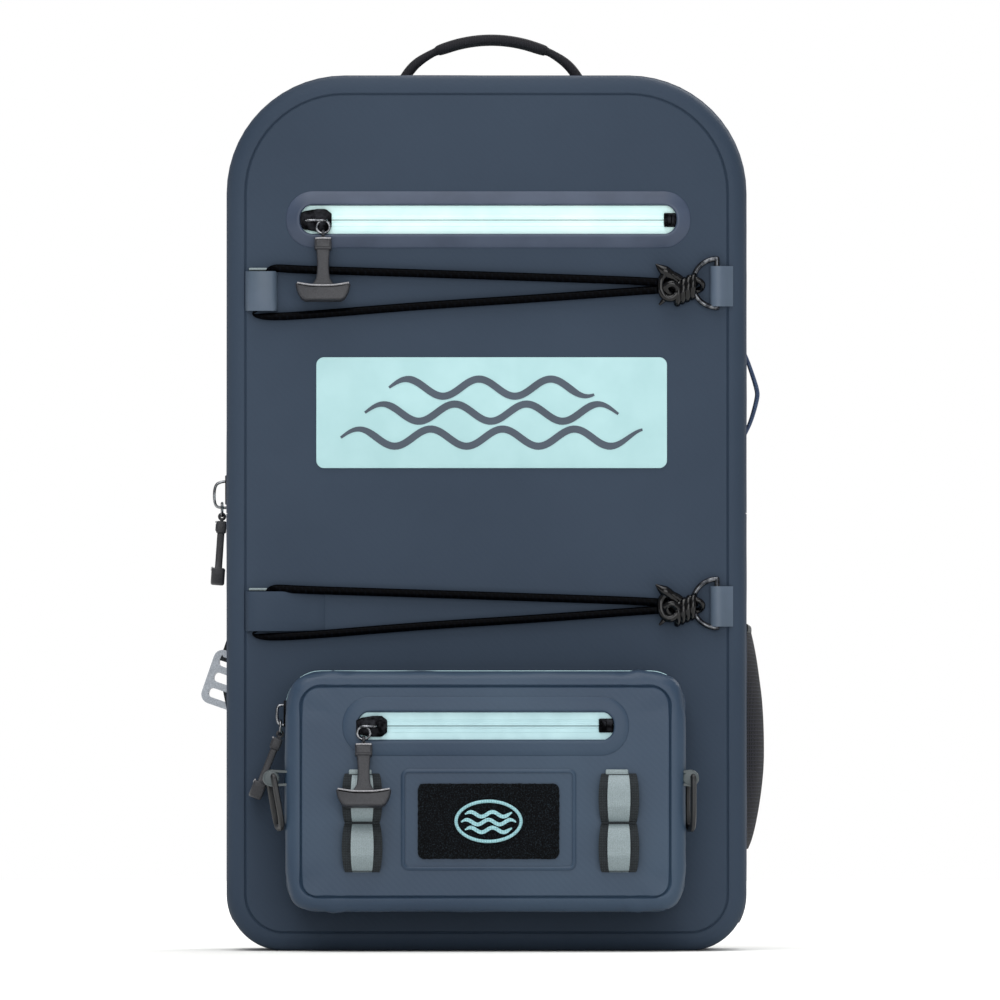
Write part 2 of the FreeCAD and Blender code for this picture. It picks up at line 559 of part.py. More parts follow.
def daisy_webbing():
    """Two webbing ladders sewn down at three levels, so that each stands off in two loops."""
    bend = "((daisy_pitch/2)^2+daisy_proud^2)/(2*daisy_proud)"
    loops = []
    for side in ("daisy_left", "daisy_right"):
        for step in (0, 1):
            name = f"{side}_{step}"
            middle = f"daisy_low+daisy_pitch*({step}+0.5)"
            centre = (f"{side}-daisy_half", f"pouch_front-daisy_proud+{bend}", middle)
            hoop = cut(name + "_hoop",
                       rod(name + "_outer", "x", centre, "2*daisy_half", bend),
                       rod(name + "_inner", "x", centre, "2*daisy_half", f"{bend}-daisy_thick"))
            zone = box(name + "_zone", (f"{side}-daisy_half", f"{side}+daisy_half"),
                       ("pouch_front-daisy_proud-over", "pouch_front"),
                       (f"{middle}-daisy_pitch/2", f"{middle}+daisy_pitch/2"))
            loops.append(common(name, hoop, zone))
    keep("daisy_webbing", group("daisy_loops", *loops))


def side_rings():
    """Sewn tab and moulded ring on each side of the pouch, for a shoulder strap of its own."""
    tabs = []
    pouch_solid = pouch_block("pouch_keepout", "0*wall")
    for side, sign in (("left", -1), ("right", 1)):
        face = f"pouch_mid+({sign})*pouch_half"
        proud = SIDE_TAB_PROUD[side]
        bar_x = f"{face}+({sign})*({proud}-side_tab_bend)"
        ends = (face, bar_x) if sign > 0 else (bar_x, face)
        foot = box(f"side_tab_{side}_foot", ends,
                   ("side_tab_y-side_tab_half", "side_tab_y+side_tab_half"),
                   ("side_tab_z-side_tab_bend", "side_tab_z+side_tab_bend"))
        start = (bar_x, "side_tab_y-side_tab_half", "side_tab_z")
        barrel = rod(f"side_tab_{side}_barrel", "y", start, "2*side_tab_half", "side_tab_bend")
        bore = rod(f"side_tab_{side}_bore", "y", (bar_x, "side_tab_y-side_tab_half-over", "side_tab_z"),
                   "2*side_tab_half+2*over", "side_bore")
        fold = fuse(f"side_tab_{side}_fold", foot, barrel)
        tabs.append(cut(f"side_tab_{side}", fold, bore, pouch_solid))

        frame = box(f"side_ring_{side}_frame", ("-side_bar", "side_bar"),
                    ("-side_ring_half", "side_ring_half"), ("-side_ring_drop", "0"))
        window = box(f"side_ring_{side}_window", ("-side_bar-over", "side_bar+over"),
                     ("-side_ring_half+side_ring_leg", "side_ring_half-side_ring_leg"),
                     ("-side_ring_drop+side_ring_foot", "over"))
        bar = rod(f"side_ring_{side}_bar", "y", ("0", "-side_ring_half", "0"),
                  "2*side_ring_half", "side_bar")
        loop = fuse(f"side_ring_{side}_loop", cut(f"side_ring_{side}_open", frame, window), bar)
        keep(f"side_ring_{side}", place(loop, (bar_x, "side_tab_y", "side_tab_z"),
                                        lean=sign * SIDE_RING_LEAN[side]))
    keep("side_ring_tabs", group("side_tab_pair", *tabs))


def arch(name, x_span, y_span, z_span, bend, thick):
    """An upright hoop of flat strap: two legs and a level top with rounded corners."""
    block = rounded_block(name + "_outer", x_span, y_span, z_span, bend, "handle_foot")
    inner = rounded_block(name + "_inner", (f"{x_span[0]}+{thick}", f"{x_span[1]}-{thick}"),
                          (f"{y_span[0]}-over", f"{y_span[1]}+over"),
                          (f"{z_span[0]}-handle_open", f"{z_span[1]}-{thick}"),
                          f"{bend}-{thick}", "handle_foot")
    trim = box(name + "_trim", (f"{x_span[0]}-over", f"{x_span[1]}+over"),
               (f"{y_span[0]}-over", f"{y_span[1]}+over"), (f"{z_span[0]}-over", f"{z_span[0]}+handle_trim"))
    return cut(name, block, inner, trim)


def handles():
    keep("top_handle", arch(
        "top_handle_arch", ("handle_left", "handle_right"),
        ("handle_y-handle_half", "handle_y+handle_half"),
        ("handle_low-handle_trim", "handle_top"), "handle_bend", "handle_thick"))
    feet = []
    for side, low, high in (
            ("left", "handle_left-riser_gap-riser_long", "handle_left-riser_gap"),
            ("right", "handle_right+riser_gap", "handle_right+riser_gap+riser_long")):
        feet.append(box(f"riser_{side}", (low, high),
                        ("handle_y-riser_half", "handle_y+riser_half"),
                        ("body_tall", "handle_low+riser_over")))
    keep("handle_risers", group("riser_pair", *feet))

    bend = "(((grab_high-grab_low)/2)^2+grab_proud^2)/(2*grab_proud)"
    middle = "(grab_low+grab_high)/2"
    centre = (f"half_wide+grab_proud-{bend}", "grab_y", middle)
    hoop = cut("grab_hoop", rod("grab_outer", "y", centre, "grab_wide", bend),
               rod("grab_inner", "y", centre, "grab_wide", f"{bend}-grab_thick"))
    keep("side_grab_handle", common("grab", hoop, box(
        "grab_zone", ("half_wide", "half_wide+grab_proud+over"), ("grab_y", "grab_y+grab_wide"),
        ("grab_low", "grab_high"))))


def stretch_pocket():
    """Open-topped mesh pocket that bulges from the right side."""
    bag = box("mesh_bag", ("half_wide", "half_wide+mesh_proud"), ("-mesh_half", "mesh_half"),
              ("mesh_low", "mesh_high"))
    room = box("mesh_room", ("half_wide+mesh_thick", "half_wide+mesh_proud-mesh_thick"),
               ("-mesh_half+mesh_thick", "mesh_half-mesh_thick"),
               ("mesh_low+mesh_thick", "mesh_high+over"))
    keep("mesh_side_pocket", cut("mesh", bag, room))


def back_parts():
    pads = [rounded_block(f"pad_{side}", (low, high), ("half_deep", "half_deep+pad_thick"),
                          ("pad_low", "pad_high"), "pad_bend", "pad_bend",
                          "", "patch_bend")
            for side, low, high in (("left", "-pad_outer", "-pad_inner"),
                                    ("right", "pad_inner", "pad_outer"))]
    keep("back_pads", group("pad_pair", *pads))
    keep("yoke_patch", rounded_block(
        "yoke", ("-yoke_half", "yoke_half"), ("half_deep", "half_deep+yoke_thick"),
        ("yoke_low", "yoke_high"), "patch_bend", "patch_bend"))
    rear = "half_deep-wall-sheet_gap"
    keep("frame_sheet", rounded_block(
        "frame_board", ("-sheet_half", "sheet_half"), (f"{rear}-sheet_thick", rear),
        ("sheet_low", "sheet_high"), "pad_bend", "pad_bend"))
    front = f"{rear}-sheet_thick-organiser_gap"
    bag = box("organiser_bag", ("-organiser_half", "organiser_half"),
              (f"{front}-organiser_deep", front), ("organiser_low", "organiser_high"))
    room = box("organiser_room", ("-organiser_half+organiser_rim", "organiser_half-organiser_rim"),
               (f"{front}-organiser_deep+organiser_face", f"{front}+over"),
               ("organiser_low+organiser_rim", "organiser_high+over"))
    keep("inner_pocket", cut("organiser", bag, room))


def strap_sets():
    """Curved padded strap, ladder lock and lower webbing on each side."""
    centre_y = "half_deep+strap_stand-sqrt((strap_bend-strap_thick/2)^2-(anchor_z-strap_mid_z)^2)"
    for side, sign in (("left", -1), ("right", 1)):
        splay = SPLAY[side]
        start = ("-strap_half", centre_y, "strap_mid_z-anchor_z")
        hoop = cut(f"strap_{side}_hoop",
                   rod(f"strap_{side}_outer", "x", start, "2*strap_half",
                       "strap_bend+strap_thick/2"),
                   rod(f"strap_{side}_inner", "x", start, "2*strap_half",
                       "strap_bend-strap_thick/2"))
        zone = box(f"strap_{side}_zone", ("-strap_half", "strap_half"), ("0", "3*half_deep"),
                   ("-strap_long", "0"))
        pad = common(f"strap_{side}_pad", hoop, zone)
        anchor = (f"({sign})*anchor_x", "0", "anchor_z")
        keep(f"shoulder_strap_{side}", place(pad, anchor, lean=splay))

        low = "-lock_drop-lock_tall/2"
        plate = box(f"lock_{side}_plate", ("-lock_half", "lock_half"),
                    ("lock_y", "lock_y+lock_thick"), (low, f"{low}+lock_tall"))
        slots = [box(f"lock_{side}_slot_{number}", ("-belt_half-lock_play", "belt_half+lock_play"),
                     ("lock_y-over", "lock_y+lock_thick+over"),
                     (f"{low}+{foot}", f"{low}+{foot}+lock_slot"))
                 for number, foot in enumerate(
                     ("lock_bar", "2*lock_bar+lock_slot", "3*lock_bar+2*lock_slot"))]
        keep(f"ladder_lock_{side}", place(cut(f"lock_{side}", plate, *slots), anchor, lean=splay))

        lock = FreeCAD.Vector(size(f"({sign})*anchor_x"), 0, size("anchor_z"))
        lock += FreeCAD.Rotation(FreeCAD.Vector(0, 1, 0), splay).multVec(
            FreeCAD.Vector(0, 0, -size("lock_drop+lock_tall/2")))
        lock.y = size("lock_y-belt_under")
        foot = FreeCAD.Vector(sign * size("wing_x"), size("half_deep+belt_stand"),
                              size("wing_foot+wing_tall/2"))
        reach = lock - foot
        belt = doc.addObject("Part::Box", f"belt_{side}")
        bind(belt, Length="2*belt_half", Width="belt_thick")
        belt.Height = reach.Length
        frame = FreeCAD.Rotation(FreeCAD.Vector(1, 0, 0), FreeCAD.Vector(), reach, "ZXY")
        corner = frame.multVec(FreeCAD.Vector(-size("belt_half"), 0, 0))
        belt.Placement = FreeCAD.Placement(foot + corner, frame)
        wing = box(f"wing_{side}",
                   (f"({sign})*wing_x-wing_half", f"({sign})*wing_x+wing_half"),
                   ("half_deep", "half_deep+wing_thick"), ("wing_foot", "wing_foot+wing_tall"))
        keep(f"lower_webbing_{side}", group(f"lower_webbing_{side}_pair", belt, wing))

        webbing = box(f"sternum_{side}_belt", ("-sternum_half", "sternum_half"),
                      ("sternum_y", "sternum_y+sternum_thick"),
                      ("-sternum_belt-sternum_lap", "sternum_over"))
        buckle = box(f"sternum_{side}_buckle", ("-buckle_half", "buckle_half"),
                     ("sternum_y-buckle_sunk", "sternum_y-buckle_sunk+buckle_thick"),
                     ("-sternum_belt-buckle_tall", "-sternum_belt"))
        keep(f"sternum_strap_{side}", place(fuse(f"sternum_{side}", webbing, buckle),
                                            (f"({sign})*sternum_x", "0", "sternum_z")))


main_shell()
lid_details()
zip_sets()
lashing("upper")
lashing("lower")
pouch()
daisy_webbing()
side_rings()
handles()
stretch_pocket()
back_parts()
strap_sets()
doc.recompute()

faults = [f"{item.Label}: {item.State}" for item in doc.Objects
          if "Invalid" in item.State or "Error" in item.State]
faults += [f"{label}: bad shape" for label, item in parts.items()
           if item.Shape.isNull() or not item.Shape.isValid() or not item.Shape.Solids]
if faults:
    raise SystemExit("\n".join(faults))

os.makedirs("parts", exist_ok=True)
for label, item in parts.items():
    item.Shape.exportStep(f"parts/{label}.step")
    volume = item.Shape.Volume / 1000
    print(f"{label}: {len(item.Shape.Solids)} solid(s), {volume:.2f} cm3")
print(len(parts), "nodes")
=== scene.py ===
import math
import random
import bmesh
import bpy
from mathutils import Matrix, Vector, noise


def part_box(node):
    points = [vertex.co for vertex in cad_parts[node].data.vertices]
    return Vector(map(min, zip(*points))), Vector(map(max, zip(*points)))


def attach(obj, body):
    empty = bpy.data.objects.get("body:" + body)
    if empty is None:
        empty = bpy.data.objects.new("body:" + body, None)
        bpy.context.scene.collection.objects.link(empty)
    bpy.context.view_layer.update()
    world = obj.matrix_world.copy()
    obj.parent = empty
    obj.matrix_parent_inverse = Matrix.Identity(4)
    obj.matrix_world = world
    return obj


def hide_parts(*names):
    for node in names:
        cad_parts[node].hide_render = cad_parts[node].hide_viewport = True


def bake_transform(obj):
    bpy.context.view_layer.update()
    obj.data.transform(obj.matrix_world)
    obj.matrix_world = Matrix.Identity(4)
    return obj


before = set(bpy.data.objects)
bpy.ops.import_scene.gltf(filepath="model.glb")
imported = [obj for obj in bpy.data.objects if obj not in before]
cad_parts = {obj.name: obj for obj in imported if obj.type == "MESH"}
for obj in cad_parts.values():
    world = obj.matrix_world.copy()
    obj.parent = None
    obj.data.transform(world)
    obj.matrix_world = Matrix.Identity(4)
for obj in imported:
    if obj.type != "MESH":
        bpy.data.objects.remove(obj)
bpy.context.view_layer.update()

# A welded waterproof tackle backpack.  Everything below is worked out in millimetres and
# turned to metres when a piece is finished.

toMetres = 0.001
tiny = 1e-3
xAxis, yAxis, zAxis = Vector((1, 0, 0)), Vector((0, 1, 0)), Vector((0, 0, 1))


def nodeBox(name):
    return [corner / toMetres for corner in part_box(name)]


# camera, light and floor
studio = {
    "aimX": 8.6, "aimZ": 288.6, "distance": 25000, "frameWidth": 640, "sensor": 36,
    "roomLight": 0.34, "floorSize": 9000, "floorHex": "#F4F4F2", "softness": 45,
    # power of each lamp and the way it shines
    "suns": {"keySun": (1.4, (0.2, 0.6, -1.0)), "topSun": (1.2, (0.0, 0.02, -1.0)),
             "fillSun": (1.5, (-0.1, 1.0, -0.15)), "backSun": (1.7, (-0.5, -1.0, -0.8))},
}


def hexColor(text):  # an sRGB hex value as linear light
    channels = [int(text[place:place + 2], 16) / 255 for place in (1, 3, 5)]
    return [c / 12.92 if c < 0.04045 else ((c + 0.055) / 1.055) ** 2.4 for c in channels] + [1]


def addNode(tree, kind, values=(), links=(), **settings):
    made = tree.nodes.new("ShaderNode" + kind)
    for name, value in settings.items():
        setattr(made, name, value)
    for socket, value in dict(values).items():
        made.inputs[socket].default_value = value
    for socket, source in dict(links).items():
        tree.links.new(source, made.inputs[socket])
    return made


def makeCamera():
    lens = bpy.data.cameras.new("camera")
    lens.sensor_width = studio["sensor"]
    reach = studio["distance"] + nodeBox("front_panel_upper")[0].y
    lens.lens = studio["sensor"] * reach / studio["frameWidth"]
    lens.clip_end = 100
    camera = bpy.data.objects.new("camera", lens)
    camera.location = Vector((studio["aimX"], -studio["distance"], studio["aimZ"])) * toMetres
    camera.rotation_euler = (math.radians(90), 0, 0)
    bpy.context.scene.collection.objects.link(camera)
    bpy.context.scene.camera = camera


def makeSun(name, power, towards):
    sun = bpy.data.lights.new(name, "SUN")
    sun.energy = power
    sun.angle = math.radians(studio["softness"])
    lamp = bpy.data.objects.new(name, sun)
    lamp.rotation_euler = Vector(towards).to_track_quat("-Z", "Y").to_euler()
    bpy.context.scene.collection.objects.link(lamp)


def makeRoom():
    world = bpy.data.worlds.new("studioRoom")
    world.use_nodes = True
    tree = world.node_tree
    tree.nodes.clear()
    seen = addNode(tree, "LightPath")
    room = addNode(tree, "Background", {"Color": (1, 1, 1, 1), "Strength": studio["roomLight"]})
    backdrop = addNode(tree, "Background", {"Color": (1, 1, 1, 1), "Strength": 1.0})
    mixed = addNode(tree, "MixShader", links={"Fac": seen.outputs["Is Camera Ray"],
                                              1: room.outputs[0], 2: backdrop.outputs[0]})
    addNode(tree, "OutputWorld", links={"Surface": mixed.outputs[0]})
    bpy.context.scene.world = world
    bpy.context.scene.view_settings.view_transform = "Standard"
    floorMesh = bmesh.new()
    bmesh.ops.create_grid(floorMesh, x_segments=1, y_segments=1, size=studio["floorSize"] / 2)
    bmesh.ops.scale(floorMesh, vec=[toMetres] * 3, verts=floorMesh.verts)
    data = bpy.data.meshes.new("floor")
    floorMesh.to_mesh(data)
    floorMesh.free()
    paper = bpy.data.materials.new("matt paper sweep")  # flat white paper, no gloss
    paper.use_nodes = True
    surface = paper.node_tree.nodes["Principled BSDF"]
    surface.inputs["Base Color"].default_value = hexColor(studio["floorHex"])
    surface.inputs["Roughness"].default_value = 1.0
    data.materials.append(paper)
    floor = bpy.data.objects.new("floor", data)
    bpy.context.scene.collection.objects.link(floor)


makeCamera()
for sunName, (sunPower, sunWay) in studio["suns"].items():
    makeSun(sunName, sunPower, sunWay)
makeRoom()
print("camera, lights and floor ready")


# materials
def startMaterial(name, **shader):
    material = bpy.data.materials.new(name)
    material.use_nodes = True
    tree = material.node_tree
    tree.nodes.clear()
    values = {socket.replace("_", " "): value for socket, value in shader.items()}
    surface = addNode(tree, "BsdfPrincipled", values)
    addNode(tree, "OutputMaterial", links={"Surface": surface.outputs["BSDF"]})
    spot = {"Vector": addNode(tree, "TexCoord").outputs["Object"]}
    return material, tree, surface, spot


def dress(tree, surface, shade, relief, wear=None):
    # shade: pattern, dark and light hex, and where each begins; relief: pattern, depth in
    # millimetres and strength; wear: pattern, and the roughness it runs between
    pattern, dark, light, low, high = shade
    ramp = addNode(tree, "ValToRGB", links={"Fac": pattern})
    for stop, position, text in zip(ramp.color_ramp.elements, (low, high), (dark, light)):
        stop.position, stop.color = position, hexColor(text)
    tree.links.new(ramp.outputs["Color"], surface.inputs["Base Color"])
    height, depth, strength = relief
    bump = addNode(tree, "Bump", {"Strength": strength, "Distance": depth * toMetres},
                   {"Height": height})
    tree.links.new(bump.outputs["Normal"], surface.inputs["Normal"])
    if wear:
        pattern, smooth, rough = wear
        spread = addNode(tree, "MapRange", {"To Min": smooth, "To Max": rough}, {"Value": pattern})
        tree.links.new(spread.outputs["Result"], surface.inputs["Roughness"])


def bands(perMetre):  # a wave texture makes scale / 0.314 bands for each unit of length
    return {"Scale": perMetre * 0.314, "Distortion": 0.6, "Detail": 1.0, "Detail Scale": 1.5}


def coatedNylon(name, dark, light, dull, gleam, gloss=0.2):
    # nylon cloth with a thermoplastic polyurethane film rolled on: an even, dull, faintly
    # pebbled skin whose threads only just print through
    material, tree, surface, spot = startMaterial(name, IOR=1.46, Specular_IOR_Level=gloss)
    cloudy = addNode(tree, "TexNoise", {"Scale": 9, "Detail": 3}, spot).outputs["Fac"]
    pebble = addNode(tree, "TexNoise", {"Scale": 620, "Roughness": 0.6}, spot).outputs["Fac"]
    thread = addNode(tree, "TexWave", bands(420), spot, bands_direction="DIAGONAL").outputs["Fac"]
    both = addNode(tree, "Math", links={0: pebble, 1: thread}, operation="ADD").outputs[0]
    dress(tree, surface, (cloudy, dark, light, 0.35, 0.65), (both, 0.06, 0.5),
          (cloudy, dull, gleam))
    return material


def weldedFilm(name, dark, light, shine):
    # polyurethane film pressed by a hot tool: smoother than the cloth, with soft highlights
    material, tree, surface, spot = startMaterial(name, IOR=1.48, Specular_IOR_Level=0.4)
    cloudy = addNode(tree, "TexNoise", {"Scale": 40, "Detail": 3}, spot).outputs["Fac"]
    fine = addNode(tree, "TexNoise", {"Scale": 900, "Detail": 1}, spot).outputs["Fac"]
    dress(tree, surface, (cloudy, dark, light, 0.35, 0.65), (fine, 0.03, 0.4),
          (cloudy, shine, shine + 0.12))
    return material


def wovenNylon(name, dark, light, ribs, across, rough=0.8):
    # woven nylon tape: weft ribs 1.6 mm apart crossed by finer warp lines, with a dull sheen
    material, tree, surface, spot = startMaterial(name, IOR=1.53, Specular_IOR_Level=0.25,
                                                  Roughness=rough, Sheen_Weight=0.04,
                                                  Sheen_Roughness=0.5)
    weft = addNode(tree, "TexWave", bands(625), spot, bands_direction=ribs).outputs["Fac"]
    warp = addNode(tree, "TexWave", bands(900), spot, bands_direction=across).outputs["Fac"]
    woven = addNode(tree, "Math", links={0: weft, 1: warp}, operation="MULTIPLY").outputs[0]
    fibre = addNode(tree, "TexNoise", {"Scale": 500, "Detail": 3, "Roughness": 0.7},
                    spot).outputs["Fac"]
    colour = addNode(tree, "Math", links={0: woven, 1: fibre}, operation="ADD").outputs[0]
    dress(tree, surface, (colour, dark, light, 0.3, 1.0), (woven, 0.35, 0.8))
    return material


def mouldedPlastic(name, dark, light, shine, depth=0.05):
    # injection-moulded plastic: spark-eroded texture of the mould, about 0.8 mm grain
    material, tree, surface, spot = startMaterial(name, IOR=1.48, Specular_IOR_Level=0.4)
    speck = addNode(tree, "TexNoise", {"Scale": 1200, "Detail": 3, "Roughness": 0.7},
                    spot).outputs["Fac"]
    cloudy = addNode(tree, "TexNoise", {"Scale": 90}, spot).outputs["Fac"]
    dress(tree, surface, (speck, dark, light, 0.35, 0.65), (speck, depth, 0.7),
          (cloudy, shine, shine + 0.15))
    return material


def platedMetal(name, dark, light, shine):
    # steel wire or die-cast zinc, plated nearly black: bright where it turns to the light
    material, tree, surface, spot = startMaterial(name, Metallic=1.0)
    rubbed = addNode(tree, "TexNoise", {"Scale": 260, "Detail": 3, "Roughness": 0.6},
                     spot).outputs["Fac"]
    fine = addNode(tree, "TexNoise", {"Scale": 700}, spot).outputs["Fac"]
    dress(tree, surface, (rubbed, dark, light, 0.4, 0.75), (fine, 0.03, 0.5),
          (rubbed, shine, shine + 0.15))
    return material


def spacerMesh(name, dark, light, cells):
    # knitted spacer mesh: staggered round holes 4 mm apart, darker towards their middles as
    # painted shade in the holes
    material, tree, surface, spot = startMaterial(name, IOR=1.5, Specular_IOR_Level=0.2,
                                                  Roughness=0.9, Sheen_Weight=0.15,
                                                  Sheen_Roughness=0.4)
    flat = addNode(tree, "Mapping", {"Rotation": (math.pi / 2, 0, 0)}, spot).outputs[0]
    holes = addNode(tree, "TexVoronoi", {"Scale": cells, "Randomness": 0.25}, {"Vector": flat},
                    feature="F1", voronoi_dimensions="2D").outputs["Distance"]
    # dark at each hole's middle: painted shade
    dress(tree, surface, (holes, dark, light, 0.18, 0.36), (holes, 0.8, 0.7))
    return material


def reflectiveTape():
    # glass beads in grey ink on a woven tape: pale, slightly metallic, fine vertical lines
    material, tree, surface, spot = startMaterial("glass bead reflective tape", IOR=1.5,
                                                  Metallic=0.15, Roughness=0.45)
    beads = addNode(tree, "TexNoise", {"Scale": 1500, "Roughness": 0.6}, spot).outputs["Fac"]
    lines = addNode(tree, "TexWave", bands(900), spot, bands_direction="X").outputs["Fac"]
    dress(tree, surface, (beads, "#6C797C", "#7F8C90", 0.35, 0.65), (lines, 0.08, 0.6))
    return material


def loopPile():
    # brushed nylon loops, 0.7 mm: very dark, with pale specks as a painted highlight where single
    # loops stand up
    material, tree, surface, spot = startMaterial("brushed nylon loop tape, black", IOR=1.53,
                                                  Specular_IOR_Level=0.08, Roughness=0.95,
                                                  Sheen_Weight=0.02, Sheen_Roughness=0.6)
    pile = addNode(tree, "TexNoise", {"Scale": 1100, "Detail": 4, "Roughness": 0.75},
                   spot).outputs["Fac"]
    # the pale specks are painted highlight
    dress(tree, surface, (pile, "#010102", "#28323A", 0.5, 0.72), (pile, 0.9, 1.0))
    return material


def braidedCover(name, gloss, waxed):
    # tightly braided polyester over rubber: nearly black; the wax gleams where it is knotted
    material, tree, surface, spot = startMaterial(name, IOR=1.5, Specular_IOR_Level=gloss)
    strand = addNode(tree, "TexWave", bands(380), spot, bands_direction="DIAGONAL").outputs["Fac"]
    cross = addNode(tree, "TexWave", bands(420), spot, bands_direction="X").outputs["Fac"]
    plait = addNode(tree, "Math", links={0: strand, 1: cross}, operation="MULTIPLY").outputs[0]
    patchy = addNode(tree, "TexNoise", {"Scale": 300}, spot).outputs["Fac"]
    dress(tree, surface, (plait, "#000001", "#05070C", 0.1, 0.9), (plait, 0.12, 0.5),
          (patchy, waxed, waxed + 0.12))
    return material


def openMesh():
    # knitted stretch mesh: the 2.4 mm holes are painted near black as the shaded inside seen
    # through them, between paler knots
    material, tree, surface, _ = startMaterial("knitted stretch mesh, black", IOR=1.53,
                                               Specular_IOR_Level=0.2, Roughness=0.85)
    along = addNode(tree, "TexCoord").outputs["UV"]  # metres along the cloth
    cells = addNode(tree, "TexVoronoi", {"Scale": 420, "Randomness": 0.15}, {"Vector": along},
                    feature="DISTANCE_TO_EDGE", voronoi_dimensions="2D").outputs["Distance"]
    # darkest in the middle of each cell: painted shade of the inside
    dress(tree, surface, (cells, "#232533", "#06070B", 0.03, 0.12), (cells, -0.6, 0.8))
    return material


finish = {
    "shellCloth": coatedNylon("welded TPU coated nylon, slate", "#2A3645", "#2E3A49", 0.6, 0.7),
    "pouchCloth": coatedNylon("welded TPU coated nylon, pouch", "#27374A", "#2F4052", 0.42, 0.52,
                              0.32),
    "liningCloth": coatedNylon("coated nylon lining, grey", "#6A7178", "#757C83", 0.6, 0.7),
    "trimFilm": weldedFilm("hot pressed TPU film, slate", "#303B4E", "#3A4558", 0.4),
    "tabFilm": weldedFilm("folded TPU tab, slate", "#424F5D", "#485565", 0.42),
    "rolledTab": weldedFilm("rolled TPU tab, charcoal", "#2F3739", "#40494C", 0.3),
    "mintZip": weldedFilm("laminated water tight zip tape, mint", "#CDF0EF", "#DAF5F4", 0.38),
    # the same mint zip tape as above, coloured darker: painted shade for the pouch's zips
    "shadedMintZip": weldedFilm("laminated water tight zip tape, mint with painted shade", "#A3C3C9", "#B2D2D7", 0.4),
    "badgeFilm": weldedFilm("die cut TPU badge, mint", "#9CC0C3", "#A3C6C9", 0.55),
    "inkFilm": weldedFilm("screen printed ink, slate", "#38434F", "#3F4A57", 0.5),
    "mintThread": wovenNylon("satin stitched mint thread", "#6E9BA3", "#9CC8CE", "X", "Z", 0.6),
    "webbing": wovenNylon("woven nylon webbing, black", "#101417", "#22282C", "Z", "X"),
    "handleWebbing": wovenNylon("tubular nylon webbing, black", "#0D0D11", "#1B1A20", "X", "Y"),
    "sideWebbing": wovenNylon("woven nylon webbing, navy", "#2B3750", "#3E4D68", "Z", "Y"),
    "ringSteel": platedMetal("bent steel wire, black nickel plate", "#27292D", "#6E7074", 0.1),
    "ringNickel": platedMetal("bent steel wire, nickel plate", "#4A4C50", "#A4A6AA", 0.14),
    "zipMetal": platedMetal("die cast zinc, gunmetal plate", "#050506", "#1E1F22", 0.2),
    "pullRubber": mouldedPlastic("moulded thermoplastic rubber, grey", "#1B1C20", "#303136", 0.36,
                                 0.16),
    # pale grey finish for the thin lips on the pulls: a painted highlight along their upper edges
    "pullHighlight": mouldedPlastic("painted highlight on moulded rubber edges, pale grey", "#6A6A6E", "#9C9CA0",
                               0.3),
    "blackAcetal": mouldedPlastic("moulded acetal, black", "#0D0F11", "#191B1E", 0.35),
    "greyAcetal": mouldedPlastic("moulded acetal, light grey", "#8E949C", "#B2B8C0", 0.35),
    "frameSheet": mouldedPlastic("extruded HDPE sheet, black", "#101112", "#1A1B1C", 0.5),
    "airMesh": spacerMesh("knitted spacer mesh, charcoal", "#08090B", "#23262B", 260),
    "reflective": reflectiveTape(),
    "cordCover": braidedCover("braided polyester cord cover, black", 0.02, 0.3),
    "cordKnot": braidedCover("braided polyester cord, waxed and pulled tight", 0.32, 0.1),
    "loopPile": loopPile(),
    "openMesh": openMesh(),
}
print("materials ready:", len(finish))


# mesh helpers
def moveBy(mesh, vec):
    bmesh.ops.translate(mesh, vec=vec, verts=mesh.verts)


def scaleBy(mesh, vec):
    bmesh.ops.scale(mesh, vec=vec, verts=mesh.verts)


def turnBy(mesh, angle, axis, centre=(0, 0, 0)):
    bmesh.ops.rotate(mesh, cent=centre, matrix=Matrix.Rotation(angle, 3, axis), verts=mesh.verts)


def brick(size):
    mesh = bmesh.new()
    bmesh.ops.create_cube(mesh, size=1)
    scaleBy(mesh, size)
    return mesh


def thicken(mesh, thick, recalc=True):
    bmesh.ops.solidify(mesh, geom=mesh.faces[:], thickness=thick)
    if recalc:
        bmesh.ops.recalc_face_normals(mesh, faces=mesh.faces)


def faceTo(mesh, way):  # an open sheet that looks away is turned round
    mesh.normal_update()
    if sum(face.normal.dot(way) * face.calc_area() for face in mesh.faces) < 0:
        bmesh.ops.reverse_faces(mesh, faces=mesh.faces)


def extrudePlate(outline, deep, edge, sharp):  # a flat outline, drawn out along Y and bevelled
    plate = bmesh.new()
    face = plate.faces.new([plate.verts.new(place) for place in outline])
    grown = bmesh.ops.extrude_face_region(plate, geom=[face])["geom"]
    bmesh.ops.translate(plate, vec=(0, deep, 0),
                        verts=[item for item in grown if isinstance(item, bmesh.types.BMVert)])
    bmesh.ops.recalc_face_normals(plate, faces=plate.faces)
    bevelEdges(plate, [side for side in plate.edges if side.calc_face_angle(0) > sharp], edge, 3)
    return plate


def bakedMesh(holder):  # what the object's modifiers or its curve make of it
    graph = bpy.context.evaluated_depsgraph_get()
    return bpy.data.meshes.new_from_object(holder.evaluated_get(graph))


def recoat(node, material):  # a CAD node keeps its shape and takes a better finish
    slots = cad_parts[node].data.materials
    slots.clear()
    slots.append(finish[material])


def bevelEdges(mesh, edges, offset, segments):
    bmesh.ops.bevel(mesh, geom=list(edges), offset=offset, offset_type="OFFSET",
                    segments=segments, profile=0.5, affect="EDGES", material=-1)


def sliceAt(mesh, axis, spots):
    for spot in spots:
        bmesh.ops.bisect_plane(mesh, geom=mesh.verts[:] + mesh.edges[:] + mesh.faces[:],
                               dist=tiny, plane_co=axis * spot, plane_no=axis)


